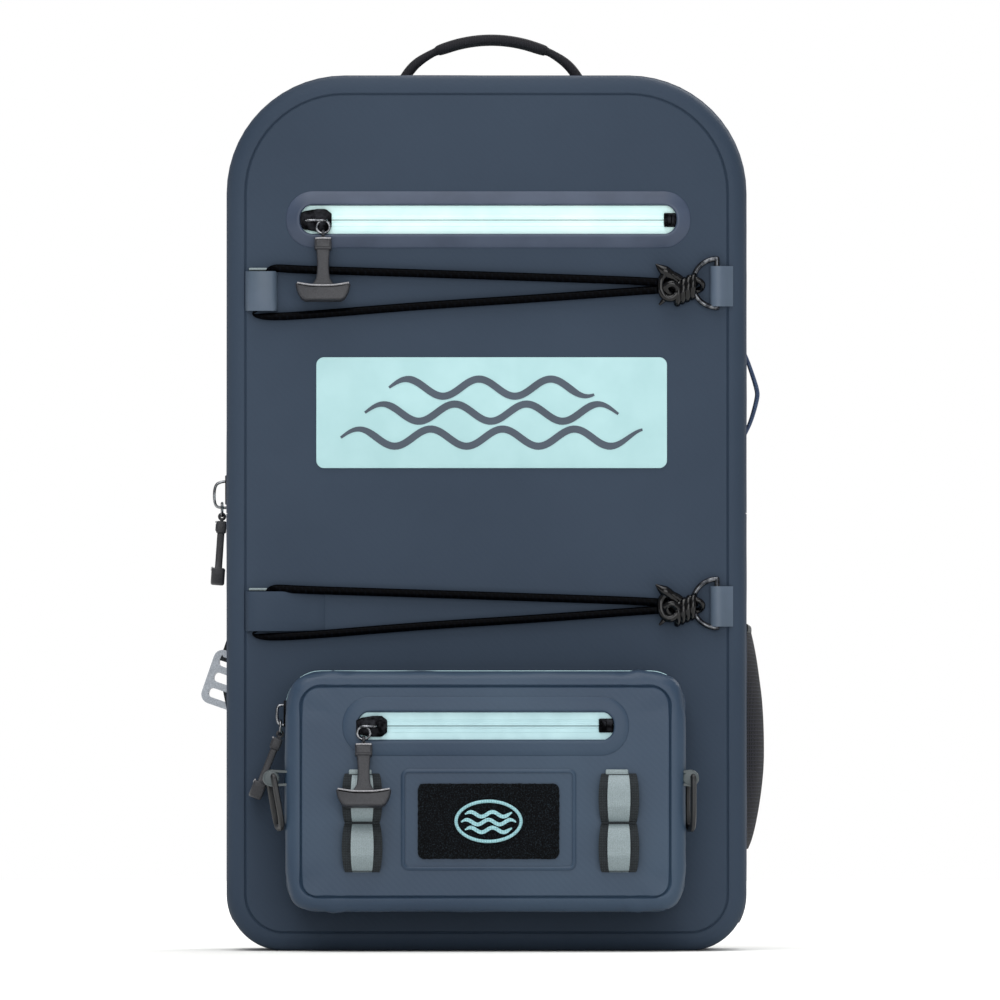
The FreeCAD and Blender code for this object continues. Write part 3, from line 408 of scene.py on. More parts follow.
def trim(mesh, axis, low=None, high=None):  # keeps what lies between low and high
    for spot, normal in ((low, -axis), (high, axis)):
        if spot is not None:
            bmesh.ops.bisect_plane(mesh, geom=mesh.verts[:] + mesh.edges[:] + mesh.faces[:],
                                   dist=tiny, plane_co=axis * spot, plane_no=normal,
                                   clear_outer=True)


def span(low, high, step):
    count = max(1, round((high - low) / step))
    return [low + (high - low) * number / count for number in range(1, count)]


def puff(mesh, amount):  # moves each point along its normal by amount(point)
    mesh.normal_update()
    for point in mesh.verts:
        point.co += point.normal * amount(point.co)


def layFlat(mesh, wide, tall):
    # the cloth's own UV, in metres; mesh is still a flat unit square
    layer = mesh.loops.layers.uv.new("cloth")
    for face in mesh.faces:
        for loop in face.loops:
            loop[layer].uv = (loop.vert.co.x * wide * toMetres, loop.vert.co.y * tall * toMetres)


def finishPiece(name, mesh, material, body=None, stands=(), sharp=40):
    # the piece takes a finish and rides on a CAD body, unless none is given
    scaleBy(mesh, [toMetres] * 3)
    data = bpy.data.meshes.new(name)
    mesh.to_mesh(data)
    mesh.free()
    data.shade_smooth()
    data.set_sharp_from_angle(angle=math.radians(sharp))
    data.materials.append(finish[material])
    piece = bpy.data.objects.new(name, data)
    bpy.context.scene.collection.objects.link(piece)
    if body:
        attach(piece, body)
    if stands:
        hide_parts(*stands)
    return piece


def roundedBlock(low, high, crown, foot, frontRim, rearRim, steps=14, rimSteps=6):
    # a box with large rounds at its upper and lower corners, then rounded front and rear rims
    mesh = brick(high - low)
    moveBy(mesh, (low + high) / 2)
    for radius, level in ((crown, high.z), (foot, low.z)):
        bevelEdges(mesh, [edge for edge in mesh.edges
                          if all(abs(point.co.z - level) < tiny for point in edge.verts)
                          and abs(edge.verts[0].co.x - edge.verts[1].co.x) < tiny],
                   radius, steps)
    for radius, level in ((frontRim, low.y), (rearRim, high.y)):
        bevelEdges(mesh, [edge for edge in mesh.edges
                          if all(abs(point.co.y - level) < tiny for point in edge.verts)],
                   radius, rimSteps)
    return mesh


def roundedPlate(left, right, low, high, face, thick, bend, edge=0.4, steps=8):
    # a flat plate in front of y = face, thick towards the viewer, with rounded corners
    mesh = brick((right - left, thick, high - low))
    moveBy(mesh, ((left + right) / 2, face - thick / 2, (low + high) / 2))
    bevelEdges(mesh, [edge for edge in mesh.edges
                      if abs(edge.verts[0].co.y - edge.verts[1].co.y) > thick / 2], bend, steps)
    if edge:
        bevelEdges(mesh, [side for side in mesh.edges
                          if all(abs(point.co.y - face + thick) < tiny for point in side.verts)],
                   edge, 2)
    return mesh


def facing(mesh, direction, limit=0.99):
    mesh.normal_update()
    return [face for face in mesh.faces if face.normal.dot(direction) > limit]


def inset(mesh, faces, width, depth):
    bmesh.ops.inset_region(mesh, faces=faces, thickness=width, depth=depth,
                           use_even_offset=True)


def groove(mesh, face, away, wide, deep):  # a pressed line that runs round a face
    inset(mesh, [face], away, 0)
    inset(mesh, [face], wide / 2, -deep)
    inset(mesh, [face], wide / 2, deep)


def openSlot(mesh, slot, front):  # the skin is already sliced along the slot's edges
    hole = []
    for face in mesh.faces:
        middle = face.calc_center_median()
        if (middle.y < front + 1 and slot["left"] < middle.x < slot["right"]
                and slot["low"] < middle.z < slot["high"]):
            hole.append(face)
    bmesh.ops.delete(mesh, geom=hole, context="FACES")


def ribbon(profile, acrossAxis, low, high, thick, steps=1):
    # an open line of points, swept along one axis from low to high and given a thickness
    mesh = bmesh.new()
    points = [mesh.verts.new(Vector(place)) for place in profile]
    for first, second in zip(points, points[1:]):
        mesh.edges.new((first, second))
    edges = mesh.edges[:]
    moveBy(mesh, acrossAxis * low)
    for _ in range(steps):
        grown = bmesh.ops.extrude_edge_only(mesh, edges=edges)["geom"]
        moved = [item for item in grown if isinstance(item, bmesh.types.BMVert)]
        edges = [item for item in grown if isinstance(item, bmesh.types.BMEdge)
                 and all(end in moved for end in item.verts)]
        bmesh.ops.translate(mesh, vec=acrossAxis * ((high - low) / steps), verts=moved)
    bmesh.ops.recalc_face_normals(mesh, faces=mesh.faces)
    if thick:
        thicken(mesh, thick)
    return mesh


def curveMesh(points, section, closed=False, detail=6, tilt=0.0):
    # a smooth line led by control points, with a section swept along it
    path = bpy.data.curves.new("path", "CURVE")
    path.dimensions = "3D"
    path.resolution_u = detail
    path.twist_mode = "MINIMUM"
    spline = path.splines.new("NURBS")
    spline.points.add(len(points) - 1)
    for point, place in zip(spline.points, points):
        point.co = (*place[:3], 1)
        point.radius = place[3] if len(place) > 3 else 1
        point.tilt = tilt
    spline.order_u = 3
    spline.use_endpoint_u = not closed
    spline.use_cyclic_u = closed
    if isinstance(section, (int, float)):
        path.bevel_depth = section
        path.bevel_resolution = 3
        path.use_fill_caps = True
        shape = None
    else:
        outline = bpy.data.curves.new("section", "CURVE")
        outline.dimensions = "2D"
        line = outline.splines.new("POLY")
        line.points.add(len(section) - 1)
        for point, (across, up) in zip(line.points, section):
            point.co = (across, up, 0, 1)
        line.use_cyclic_u = True
        shape = bpy.data.objects.new("section", outline)
        bpy.context.scene.collection.objects.link(shape)
        path.bevel_mode = "OBJECT"
        path.bevel_object = shape
        path.use_fill_caps = True
    holder = bpy.data.objects.new("path", path)
    bpy.context.scene.collection.objects.link(holder)
    swept = bakedMesh(holder)
    mesh = bmesh.new()
    mesh.from_mesh(swept)
    bmesh.ops.remove_doubles(mesh, verts=mesh.verts, dist=tiny)
    bmesh.ops.recalc_face_normals(mesh, faces=mesh.faces)
    bpy.data.objects.remove(holder)
    bpy.data.curves.remove(path)
    if shape:
        bpy.data.objects.remove(shape)
        bpy.data.curves.remove(outline)
    bpy.data.meshes.remove(swept)
    return mesh


def strapSection(wide, thick, bulge=0.0):
    # the outline of a flat band with soft edges, thicker in the middle by bulge
    half, rim = wide / 2, thick / 2
    upper = [(-half, rim * 0.35), (-half + rim * 0.5, rim), (-half / 2, rim + bulge * 0.75),
             (0, rim + bulge), (half / 2, rim + bulge * 0.75), (half - rim * 0.5, rim),
             (half, rim * 0.35)]
    return upper + [(across, -up) for across, up in reversed(upper)]


def joined(mesh, *others):  # takes the other meshes into the first
    for other in others:
        data = bpy.data.meshes.new("part")
        other.to_mesh(data)
        other.free()
        mesh.from_mesh(data)
        bpy.data.meshes.remove(data)
    return mesh


def wobble(place, size, seed=0.0):
    return noise.noise(Vector((place.x / size + seed, place.y / size, place.z / size)))


# welded shell
shell = {
    "crown": 75, "foot": 36, "frontRim": 10.5, "rearRim": 12, "wall": 2.4, "grid": 9,
    "seamLine": 66, "baseLine": 20, "lidLine": 280, "zipLine": -10, "zipHalf": 14,
    "tapeFront": -23, "tapeRear": 3, "coilHalf": 0.25, "foldLow": 270, "foldHigh": 290,
    "foldGrid": 2, "sideSoft": 1.3, "softRun": 16, "faceSoft": 0.22, "grooveAway": 0.2,
    "grooveWide": 2.0, "grooveDeep": 1.0, "backWall": 2.0, "zipWall": 1.3, "tapeWide": 9,
    "tapeProud": 0.5, "tapeWall": 0.9, "gap": 0.2,
}
shellLow = nodeBox("front_panel_lower")[0]
shellHigh = nodeBox("back_panel")[1]
lidSlot = {"left": -121.5, "right": 122.0, "low": 459.0, "high": 477.0}


def shellBlock():
    return roundedBlock(shellLow, shellHigh, shell["crown"], shell["foot"], shell["frontRim"],
                        shell["rearRim"])


def sideSoftness(place):
    # slack in the side walls, none where the zip, the seams and the panels are welded
    ends = min(abs(place.y + shell["seamLine"]), abs(place.y - shell["seamLine"]),
               abs(place.y - shell["zipLine"]) - shell["zipHalf"]
               if place.z > shell["lidLine"] else 99)
    grip = max(0.0, min(1.0, (ends - 2) / shell["softRun"]))
    return grip * shell["sideSoft"] * (wobble(place, 70) + 0.4 * wobble(place, 28, 5.0))


def faceSoftness(place):
    rim = max(0.0, min(1.0, (place.z - 20) / 60, (162 - abs(place.x)) / 40))
    return rim * shell["faceSoft"] * (wobble(place, 80, 2.0) + 0.6 * wobble(place, 26, 9.0))


def wallPiece(name, material, body, nodes, y, z, soft, stepY=9, stepZ=9, wall=None):
    # the part of the shell between two levels along Y and Z, with its slack
    mesh = shellBlock()
    trim(mesh, yAxis, *y)
    trim(mesh, zAxis, *z)
    ySpan = [value if value is not None else edge
             for value, edge in zip(y, (shellLow.y, shellHigh.y))]
    zSpan = [value if value is not None else edge
             for value, edge in zip(z, (shellLow.z, shellHigh.z))]
    sliceAt(mesh, yAxis, span(*ySpan, stepY))
    sliceAt(mesh, zAxis, span(*zSpan, stepZ))
    sliceAt(mesh, xAxis, span(shellLow.x, shellHigh.x, shell["grid"]))
    puff(mesh, soft)
    thicken(mesh, wall or shell["wall"])
    finishPiece(name, mesh, material, body, nodes)


def frontSkin():
    # one sheet across the fold between the lower front and the lid
    mesh = shellBlock()
    face = max(facing(mesh, -yAxis), key=lambda found: found.calc_area())
    groove(mesh, face, shell["grooveAway"], shell["grooveWide"], shell["grooveDeep"])
    trim(mesh, yAxis, None, -shell["seamLine"])
    grid, foldLow, foldHigh = shell["grid"], shell["foldLow"], shell["foldHigh"]
    sliceAt(mesh, xAxis, span(shellLow.x, shellHigh.x, grid)
            + [lidSlot["left"], lidSlot["right"]])
    sliceAt(mesh, zAxis, span(0, foldLow, grid) + span(foldLow, foldHigh, shell["foldGrid"])
            + [foldLow, foldHigh] + span(foldHigh, shellHigh.z, grid)
            + [lidSlot["low"], lidSlot["high"]])
    openSlot(mesh, lidSlot, shellLow.y)
    puff(mesh, faceSoftness)
    thicken(mesh, shell["wall"])
    skin = finishPiece("front_skin", mesh, "shellCloth", None,
                       ("front_panel_lower", "front_panel_upper"))
    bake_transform(skin)


def zipTape(name, body, node, y):
    # half of the long zip: film with two pressed lines and a rounded lip at the closing line
    mesh = shellBlock()
    trim(mesh, yAxis, *y)
    trim(mesh, zAxis, shell["lidLine"] + shell["gap"], None)
    lines = [shell["zipLine"] + side * away for side in (-1, 1)
             for away in (0.5, 1.0, 1.6, 4.4, 5.0, 5.6, 11.2, 12.4)]
    sliceAt(mesh, yAxis, [line for line in lines if y[0] < line < y[1]])
    sliceAt(mesh, zAxis, span(shell["lidLine"], shellHigh.z, 14))

    def profile(place):
        away = abs(place.y - shell["zipLine"])
        lip = -0.45 if away > 1.3 else 0.35 - 0.9 * max(0.0, 0.8 - away)
        rib = 0.4 if abs(away - 5.0) < 0.3 else 0.0
        return lip + rib + (0.75 if away > 11.8 else 0.0)

    puff(mesh, profile)
    thicken(mesh, shell["zipWall"])
    finishPiece(name, mesh, "mintZip", body, (node,))


frontSkin()
seam, lidLine = shell["seamLine"], shell["lidLine"]
gap, tape, coil = shell["gap"], shell["tapeWide"], shell["coilHalf"]
wallPiece("lower_wall", "shellCloth", "root", ("gusset_lower",), (-seam, seam),
          (shell["baseLine"], lidLine - gap), sideSoftness)
wallPiece("rear_wall", "shellCloth", "root", ("gusset_rear",), (shell["tapeRear"], seam),
          (lidLine - gap / 2, None), sideSoftness)
wallPiece("lid_wall", "shellCloth", "lid", ("gusset_lid",), (-seam, shell["tapeFront"]),
          (lidLine + gap, None), sideSoftness)
wallPiece("back_skin", "shellCloth", "root", ("back_panel",), (seam, None), (None, None),
          lambda place: 0.5 * faceSoftness(place), wall=shell["backWall"])
wallPiece("base_wall", "trimFilm", "root", ("base_panel",), (-seam, seam),
          (None, shell["baseLine"]), lambda place: 0.3 * wobble(place, 40))


def tapeLift(place):  # seam tape lies on the walls, and follows their slack
    return shell["tapeProud"] + sideSoftness(place)


for label, body, across, level in (
        ("lower_front", "root", (-seam, -seam + tape), (shell["baseLine"], lidLine - 0.3)),
        ("lid_front", "lid", (-seam, -seam + tape), (lidLine + 0.3, None)),
        ("rear", "root", (seam - tape, seam), (shell["baseLine"], None))):
    wallPiece(f"seam_tape_{label}", "trimFilm", body, (), across, level, tapeLift, 4.5, 12,
              shell["tapeWall"])
wallPiece("seam_tape_base", "trimFilm", "root", (), (-seam + tape, seam - tape), (18, 27),
          tapeLift, 12, 4.5, shell["tapeWall"])
zipTape("lid_zip_tape", "lid", "main_tape_lid", (shell["tapeFront"], shell["zipLine"] - coil))
zipTape("rear_zip_tape", "root", "main_tape_rear", (shell["zipLine"] + coil, shell["tapeRear"]))
print("shell skins ready")


# flat zips and their bezels
def flatZip(name, body, pocket, tapeMaterial, trimMaterial):
    left, right, low, high = pocket["opening"]
    face, margin, proud = pocket["face"], pocket["margin"], pocket["proud"]
    outline = roundedPlate(left - margin, right + margin, low - margin, high + margin,
                           face + 0.2, 0.3, (high - low) / 2 + margin - 0.8, 0, 14)
    front = max(facing(outline, -yAxis), key=lambda found: found.calc_area())
    # the trim climbs from its outer edge to a soft ridge by the opening, then rolls in
    for width, rise in ((0.5, 0.35), (margin * 0.35, proud * 0.35), (margin * 0.33, proud * 0.35),
                        (margin * 0.14, proud * 0.12), (0.5, -0.2), (0.5, -0.9), (0.1, -1.2)):
        inset(outline, [front], width, rise)
    hidden = set(facing(outline, yAxis)) | {front}
    bmesh.ops.delete(outline, geom=list(hidden), context="FACES")
    finishPiece(f"{name}_bezel", outline, trimMaterial, body,
                (f"{name}_bezel",), 60)

    tapeLow, tapeHigh = nodeBox(f"{name}_tapes")
    middle, y = (tapeLow.z + tapeHigh.z) / 2, tapeLow.y
    for side, label in ((1, "upper"), (-1, "lower")):
        reach = (tapeHigh.z - tapeLow.z) / 2 + 0.6
        line = [(0.2, 0.9), (0.25, -0.05), (0.75, -0.3), (1.3, -0.05), (1.5, 0.25), (3.0, 0.25),
                (3.2, 0.0), (3.8, -0.05), (4.0, 0.25), (reach, 0.3)]
        profile = [(0, y + lift, middle + side * away) for away, lift in line]
        half = ribbon(profile, xAxis, tapeLow.x, tapeHigh.x, 0)
        faceTo(half, -yAxis)
        thicken(half, 0.8, False)
        finishPiece(f"{name}_tape_{label}", half, tapeMaterial, body,
                    (f"{name}_tapes",) if side > 0 else (), 30)


lidPocket = {"opening": (-119.3, 121.5, 458.9, 477.3), "face": -80, "margin": 9, "proud": 4.0}
flatZip("pocket", "lid", lidPocket, "mintZip", "trimFilm")


# zip sliders, rings and pulls
def sliderMesh(long, wide, stand, bailAt, depth):
    # along +X is the way it closes, -Y is outwards; y = 0 is the tape's face
    mesh = bmesh.new()
    for low, high, scale in ((-stand, -0.3, 1.0), (0.9, depth, 0.9)):
        shape = ((-0.5, 0.30), (-0.30, 0.42), (0.05, 0.5), (0.32, 0.5), (0.5, 0.30))
        outline = [(across * long, low, side * wide * scale) for across, side in shape]
        outline += [(x, y, -z) for x, y, z in reversed(outline)]
        joined(mesh, extrudePlate(outline, high - low, min(0.7, (high - low) * 0.3), 0.5))
    neck = brick((long * 0.3, depth + 0.6, 1.2))
    moveBy(neck, (long * 0.3, depth / 2, 0))
    near, far, rise = bailAt
    bail = curveMesh([(near, -stand + 0.8, 0), (near, -stand - 1.5, 0),
                      (near + 0.8, -stand - rise, 0), (far - 2.4, -stand - rise, 0),
                      (far, -stand - 2.0, 0), (far, -stand + 0.8, 0)], 0.9)
    return joined(mesh, neck), bail


pull = {"long": 44.5, "collar": 11, "collarTall": 8, "collarTop": 3.2, "stem": 9, "waist": 7.4,
        "grip": 35, "gripFoot": 27, "gripTall": 10.6, "eye": 1.9, "eyeWire": 0.95, "drop": 8.2}


def pullMesh(tilt):
    # moulded pull that hangs down from (0, 0, 0): eye, square collar, waisted stem, boat grip
    mesh = bmesh.new()

    def slab(outline, near, far, edge):
        joined(mesh, extrudePlate([(x, near, -z) for x, z in outline], far - near, edge, 0.6))

    half, top = pull["collar"] / 2, pull["collarTop"]
    foot = top + pull["collarTall"]
    slab([(-half, top), (half, top), (half, foot), (-half, foot)], -3.2, 3.2, 1.1)
    long = pull["long"]
    foot = long - pull["gripTall"]
    slab([(-half + 1, top + 1.6), (half - 1, top + 1.6), (half - 1, top + 6.6),
          (-half + 1, top + 6.6)], -3.7, -2.5, 0.5)
    waist, stem = pull["waist"] / 2, pull["stem"] / 2
    right = [(stem, top + 6), (stem - 0.5, top + 12), (waist, 21), (waist + 0.2, 26),
             (stem, 30), (stem + 2.6, foot + 0.6), (stem + 4.2, foot + 2.4)]
    slab(right + [(-x, z) for x, z in reversed(right)], -2.3, 2.3, 0.9)
    wing, low = pull["grip"] / 2, pull["gripFoot"] / 2
    right = [(4, foot + 1.4), (9, foot + 0.9), (wing - 2.2, foot - 0.2), (wing - 0.3, foot - 1.0),
             (wing, foot + 0.4), (wing - 1.2, foot + 5.0), (low + 0.4, long - 1.4),
             (low - 2.4, long)]
    slab(right + [(-x, z) for x, z in reversed(right)], -4.3, 4.3, 1.3)
    eye = curveMesh([(0, pull["eye"] * math.cos(turn), pull["eye"] * math.sin(turn) - 0.4)
                     for turn in (number * math.tau / 8 for number in range(8))],
                    pull["eyeWire"], closed=True, detail=4)
    joined(mesh, eye)
    neck = brick((2.2, 2.2, 3.4))
    moveBy(neck, (0, 0, -3.4))
    joined(mesh, neck)
    # a thin lip along the grip's top and one on the collar, in pale grey: a painted highlight
    # where the edges catch the light
    lip = curveMesh([(-wing + 1.0, -4.0, -foot + 0.5), (-9, -4.3, -foot - 0.9),
                     (-4.6, -4.3, -foot - 1.1), (0, -4.3, -foot - 1.2), (4.6, -4.3, -foot - 1.1),
                     (9, -4.3, -foot - 0.9), (wing - 1.0, -4.0, -foot + 0.5)], 0.55, detail=5)
    rim = curveMesh([(-half + 0.6, -3.4, -top - 0.9), (0, -3.7, -top - 0.7),
                     (half - 0.6, -3.4, -top - 0.9)], 0.6, detail=3)
    edges = joined(lip, rim)
    for part in (mesh, edges):
        turnBy(part, math.radians(-tilt), "X")
    return mesh, edges


# where the tape's face is, the way the slider closes, the way it looks, the pull's lean in
# degrees, the slider's length and width, how far it lies past the ring, and its bail
zips = {
    "pocket": {"tape": (None, -79.2), "travel": xAxis, "outward": -yAxis, "tilt": 12.5,
               "long": 21, "wide": 14.5, "past": -5.0, "bailAt": (-11.5, 2.6, 4.2)},
    "pouch_pocket": {"tape": (None, -141.2), "travel": xAxis, "outward": -yAxis, "tilt": 14,
                     "long": 20, "wide": 13.5, "past": 5.0, "bailAt": (-2.6, 8.5, 4.2)},
    "main": {"tape": (-165.2, -10), "travel": zAxis, "outward": -xAxis, "tilt": 4,
             "long": 19, "wide": 11, "past": 8.5, "bailAt": (-2.9, 14, 7.0)},
    "pouch_main": {"tape": (-127.2, -98.5), "travel": -zAxis, "outward": -xAxis, "tilt": 22,
                   "long": 17, "wide": 11, "past": -4.5, "bailAt": (-10, 2.9, 4.2)},
}
sliderStand, sliderDeep, ringWire = 2.6, 3.0, 0.9


def zipSet(name, tape, travel, outward, tilt, long, wide, past, bailAt):
    # the frame's X follows the travel, its -Y looks outwards
    low, high = nodeBox(f"{name}_ring")
    ringTop = Vector(((low.x + high.x) / 2, (low.y + high.y) / 2, high.z - ringWire))
    tapeFace = Vector((ringTop.x if tape[0] is None else tape[0], tape[1], ringTop.z))
    down = Matrix((travel, -outward, travel.cross(-outward))).transposed()
    near, far, rise = bailAt
    slider, bail = sliderMesh(long, wide, sliderStand, (near - past, far - past, rise), sliderDeep)
    for part in (slider, bail):
        bmesh.ops.rotate(part, cent=(0, 0, 0), matrix=down, verts=part.verts)
        moveBy(part, tapeFace + travel * past)
    finishPiece(f"{name}_slider_bail", bail, "ringNickel", f"{name}_slider")
    finishPiece(f"{name}_slider_body", slider, "zipMetal", f"{name}_slider",
                (f"{name}_slider",), 35)
    grip, edges = pullMesh(tilt)
    across = outward.cross(zAxis)
    for part in (grip, edges):
        bmesh.ops.rotate(part, cent=(0, 0, 0), verts=part.verts,
                         matrix=Matrix((-across, -outward, zAxis)).transposed())
        moveBy(part, ringTop - zAxis * pull["drop"])
    finishPiece(f"{name}_pull_grip", grip, "pullRubber", f"{name}_pull",
                (f"{name}_pull",), 35)
    # the pale lip and collar rim are a painted highlight
    finishPiece(f"{name}_pull_highlight", edges, "pullHighlight", f"{name}_pull")
    recoat(f"{name}_ring", "ringNickel")


for zipName, zipValues in zips.items():
    zipSet(zipName, **zipValues)


stop = {"long": 9.5, "thick": 2.6, "tall": 9, "fold": 3.6}


def zipEnd(name, body, x, y, z):
    # moulded stop: a squarish lump with a fold across it
    mesh = brick((stop["long"], stop["thick"], stop["tall"]))
    bevelEdges(mesh, mesh.edges[:], 0.9, 3)
    fold = brick((stop["fold"], stop["fold"], stop["tall"] * 0.7))
    bevelEdges(fold, fold.edges[:], 0.8, 3)
    moveBy(fold, (-1.4, -0.4, 0))
    joined(mesh, fold)
    moveBy(mesh, (x, y, z))
    finishPiece(f"{name}_zip_stop", mesh, "zipMetal", body)


zipEnd("pocket", "lid", 118.2, -79.8, 467.8)
print("zips ready")


# badge
badge = {"waves": 3, "waveLong": 46, "waveHigh": 5.5, "waveWide": 4.6, "gap": 16, "ink": 0.25,
         "reach": 0.43, "shrink": 0.16}


def waveLine(left, right, middle, face, lift, long, high, wide, steps=96):
    # a flat wavy line of ink or thread that thins towards its ends
    mesh = bmesh.new()
    bmesh.ops.create_grid(mesh, x_segments=steps, y_segments=1, size=0.5)
    turnBy(mesh, math.pi / 2, "X")
    for point in mesh.verts:
        along = point.co.x + 0.5
        turn = (right - left) * along / long * math.tau
        slope = math.atan(high * math.cos(turn) * math.tau / long)
        ends = min(1.0, 0.35 + 6 * min(along, 1 - along))
        side = point.co.z * wide * ends
        point.co = Vector((left + (right - left) * along - side * math.sin(slope), face,
                           middle + high * math.sin(turn) + side * math.cos(slope)))
    faceTo(mesh, -yAxis)
    moveBy(mesh, (0, -lift, 0))
    thicken(mesh, lift + 0.3, False)
    return mesh


def makeBadge():
    low, high = nodeBox("badge_patch")
    plate = roundedPlate(low.x, high.x, low.z, high.z, high.y + 0.3, high.y - low.y + 0.3, 5, 0.4)
    finishPiece("badge_plate", plate, "badgeFilm", "lid", ("badge_patch",))
    waves = bmesh.new()
    middle = (low.z + high.z) / 2
    centre = (low.x + high.x) / 2
    for number in range(badge["waves"]):
        level = middle + (number - 1) * badge["gap"]
        half = (high.x - low.x) * badge["reach"] * (1.0 - badge["shrink"] * number)
        joined(waves, waveLine(centre - half, centre + half, level, low.y, badge["ink"],
                               badge["waveLong"], badge["waveHigh"], badge["waveWide"]))
    finishPiece("badge_waves", waves, "inkFilm", "lid")


makeBadge()
print("badge ready")


# shock-cord lashings
lashing = {"cord": 2.75, "cordY": -83.2, "high": 9.7, "low": -21.3, "ringX": 147.5,
           "tabLeft": -154.6, "tabRight": -133.4, "tabHalf": 12.7, "tabMid": -5,
           "ringTabHalf": 12.9, "ringTabMid": -1.9, "knotAt": 133.5, "knotWraps": 38,
           "wrapStep": 0.34, "wrapDeep": 4.1, "wrapTall": 7.0,
           "levels": {"upper": (427.3, "lid"), "lower": (222.4, "root")}}


def knotMesh(level):
    # the doubled cord is wrapped round itself by the ring, with two short tails
    centre, y = level - 1.4, lashing["cordY"] - 1.6
    wraps = []
    for number in range(lashing["knotWraps"]):
        turn = number * math.tau / 9
        wraps.append((lashing["knotAt"] - number * lashing["wrapStep"],
                      y + lashing["wrapDeep"] * math.cos(turn),
                      centre + lashing["wrapTall"] * math.sin(turn) - 0.15 * number))
    body = curveMesh(wraps, 2.15, detail=5)
    lump = curveMesh([(124, y - 1, centre + 4), (117, y - 3.5, centre + 9),
                      (111, y - 2, centre + 4), (112, y - 3, centre - 6),
                      (118, y - 4, centre - 9.5),
                      (124, y - 3, centre - 3), (119, y - 5.0, centre + 2),
                      (113.5, y - 3.6, centre - 1), (118, y - 1, centre - 7),
                      (126, y, centre - 6)], 2.5)
    ear = curveMesh([(121, y, centre + 3, 1.2), (116, y - 2.6, centre + 8, 1.35),
                     (112, y - 3.2, centre + 10.5, 1.1), (108.2, y - 3.0, centre + 13.5, 0.15)],
                    2.9)
    tail = curveMesh([(119, y, centre - 3, 1.0), (114.5, y - 2.6, centre - 8.5, 1.0),
                      (110.5, y - 2.2, centre - 12.5, 0.3)], 2.2)
    eyeLoop = curveMesh([(130, y - 1.5, centre + 5), (136.5, y - 3.0, centre + 3.4),
                         (138.8, y - 1, centre), (136.5, y + 3.2, centre - 3.4),
                         (130, y + 2.0, centre - 4.5)], 1.9)
    joined(body, lump, ear, tail, eyeLoop)
    for face in body.faces:
        face.material_index = 1
    return body


def makeLashing(name, level, body):
    y, high, low = lashing["cordY"], level + lashing["high"], level + lashing["low"]
    tabX = lashing["tabRight"]
    strands = curveMesh([(128, y - 0.5, level - 0.5), (104, y, level + 1.3), (60, y, level + 2.9),
                         (-60, y, level + 6.9), (-120, y, high - 0.9), (tabX + 1, y, high - 0.1),
                         (-136.5, y, high, 0.85), (-139.8, y, high - 0.6, 0.4),
                         (-141.5, y, high - 5, 0.5), (-143, y, high - 9, 0.8),
                         (-144, y, low + 8, 0.8), (-147.5, y, low + 4, 0.5),
                         (-150, y, low + 1.6, 0.15),
                         (-147, y, low + 0.3, 0.55), (-140, y, low - 0.2, 0.95),
                         (-118, y, low + 0.6), (-40, y, level - 14.2), (40, y, level - 9.2),
                         (104, y, level - 4.4), (128, y - 0.5, level - 3)],
                        lashing["cord"], detail=14)
    cord = finishPiece(f"{name}_cord", joined(strands, knotMesh(level)), "cordCover", None,
                       (f"bungee_{name}",), 60)
    cord.data.materials.append(finish["cordKnot"])
    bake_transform(cord)

    # left tab: a folded strip with a channel for the cord; right tab: folded round the ring's bar
    left, right, face = lashing["tabLeft"], lashing["tabRight"], shellLow.y
    middle = level + lashing["tabMid"]
    profile = [(left, face - 0.4, 0), (left + 1.0, face - 2.6, 0), (left + 2.2, face - 5.6, 0),
               (left + 4, face - 7.2, 0), (left + 11, face - 7.4, 0), (right - 4, face - 7.2, 0),
               (right - 1.6, face - 5.8, 0), (right - 0.8, face - 2.6, 0), (right, face - 0.4, 0)]
    if name == "lower":  # this one is pressed down in a long slope
        profile[5:] = [(right + past, face - proud, 0) for past, proud in
                       ((-4, 6.6), (4, 5.2), (14, 2.6), (24, 0.9), (30, 0.3))]
    strip = ribbon(profile, zAxis, middle - lashing["tabHalf"], middle + lashing["tabHalf"], 0, 3)
    faceTo(strip, -yAxis)
    thicken(strip, 1.0, False)
    bevelEdges(strip, [edge for edge in strip.edges if edge.calc_face_angle(0) > 1.2], 0.35, 2)
    edging = roundedPlate(left + 2.5, right - 7, high - 1.4, high + 0.2, face, 3.4, 0.6, 0.3, 2)
    x = lashing["ringX"]
    loop = ribbon([(157.8, face - 0.5, 0), (156.2, face - 1.5, 0), (153.5, face - 3.2, 0),
                   (151.0, face - 5.9, 0), (x, face - 6.6, 0), (x - 2.9, face - 5.6, 0),
                   (x - 4.2, face - 3.4, 0), (x - 3.0, face - 1.3, 0), (x + 1.2, face - 0.5, 0)],
                  zAxis, level + lashing["ringTabMid"] - lashing["ringTabHalf"],
                  level + lashing["ringTabMid"] + lashing["ringTabHalf"], 0, 3)
    faceTo(loop, -yAxis)
    thicken(loop, 0.7, False)
    finishPiece(f"{name}_cord_tab", strip, "tabFilm" if name == "upper" else "shellCloth", body,
                (f"lashing_tabs_{name}",), 50)
    finishPiece(f"{name}_tab_edge", edging, "reflective", body)
    finishPiece(f"{name}_ring_tab", loop, "tabFilm", body, (), 50)
    recoat(f"d_ring_{name}", "ringSteel")


for label, (level, body) in lashing["levels"].items():
    makeLashing(label, level, body)
print("lashings ready")


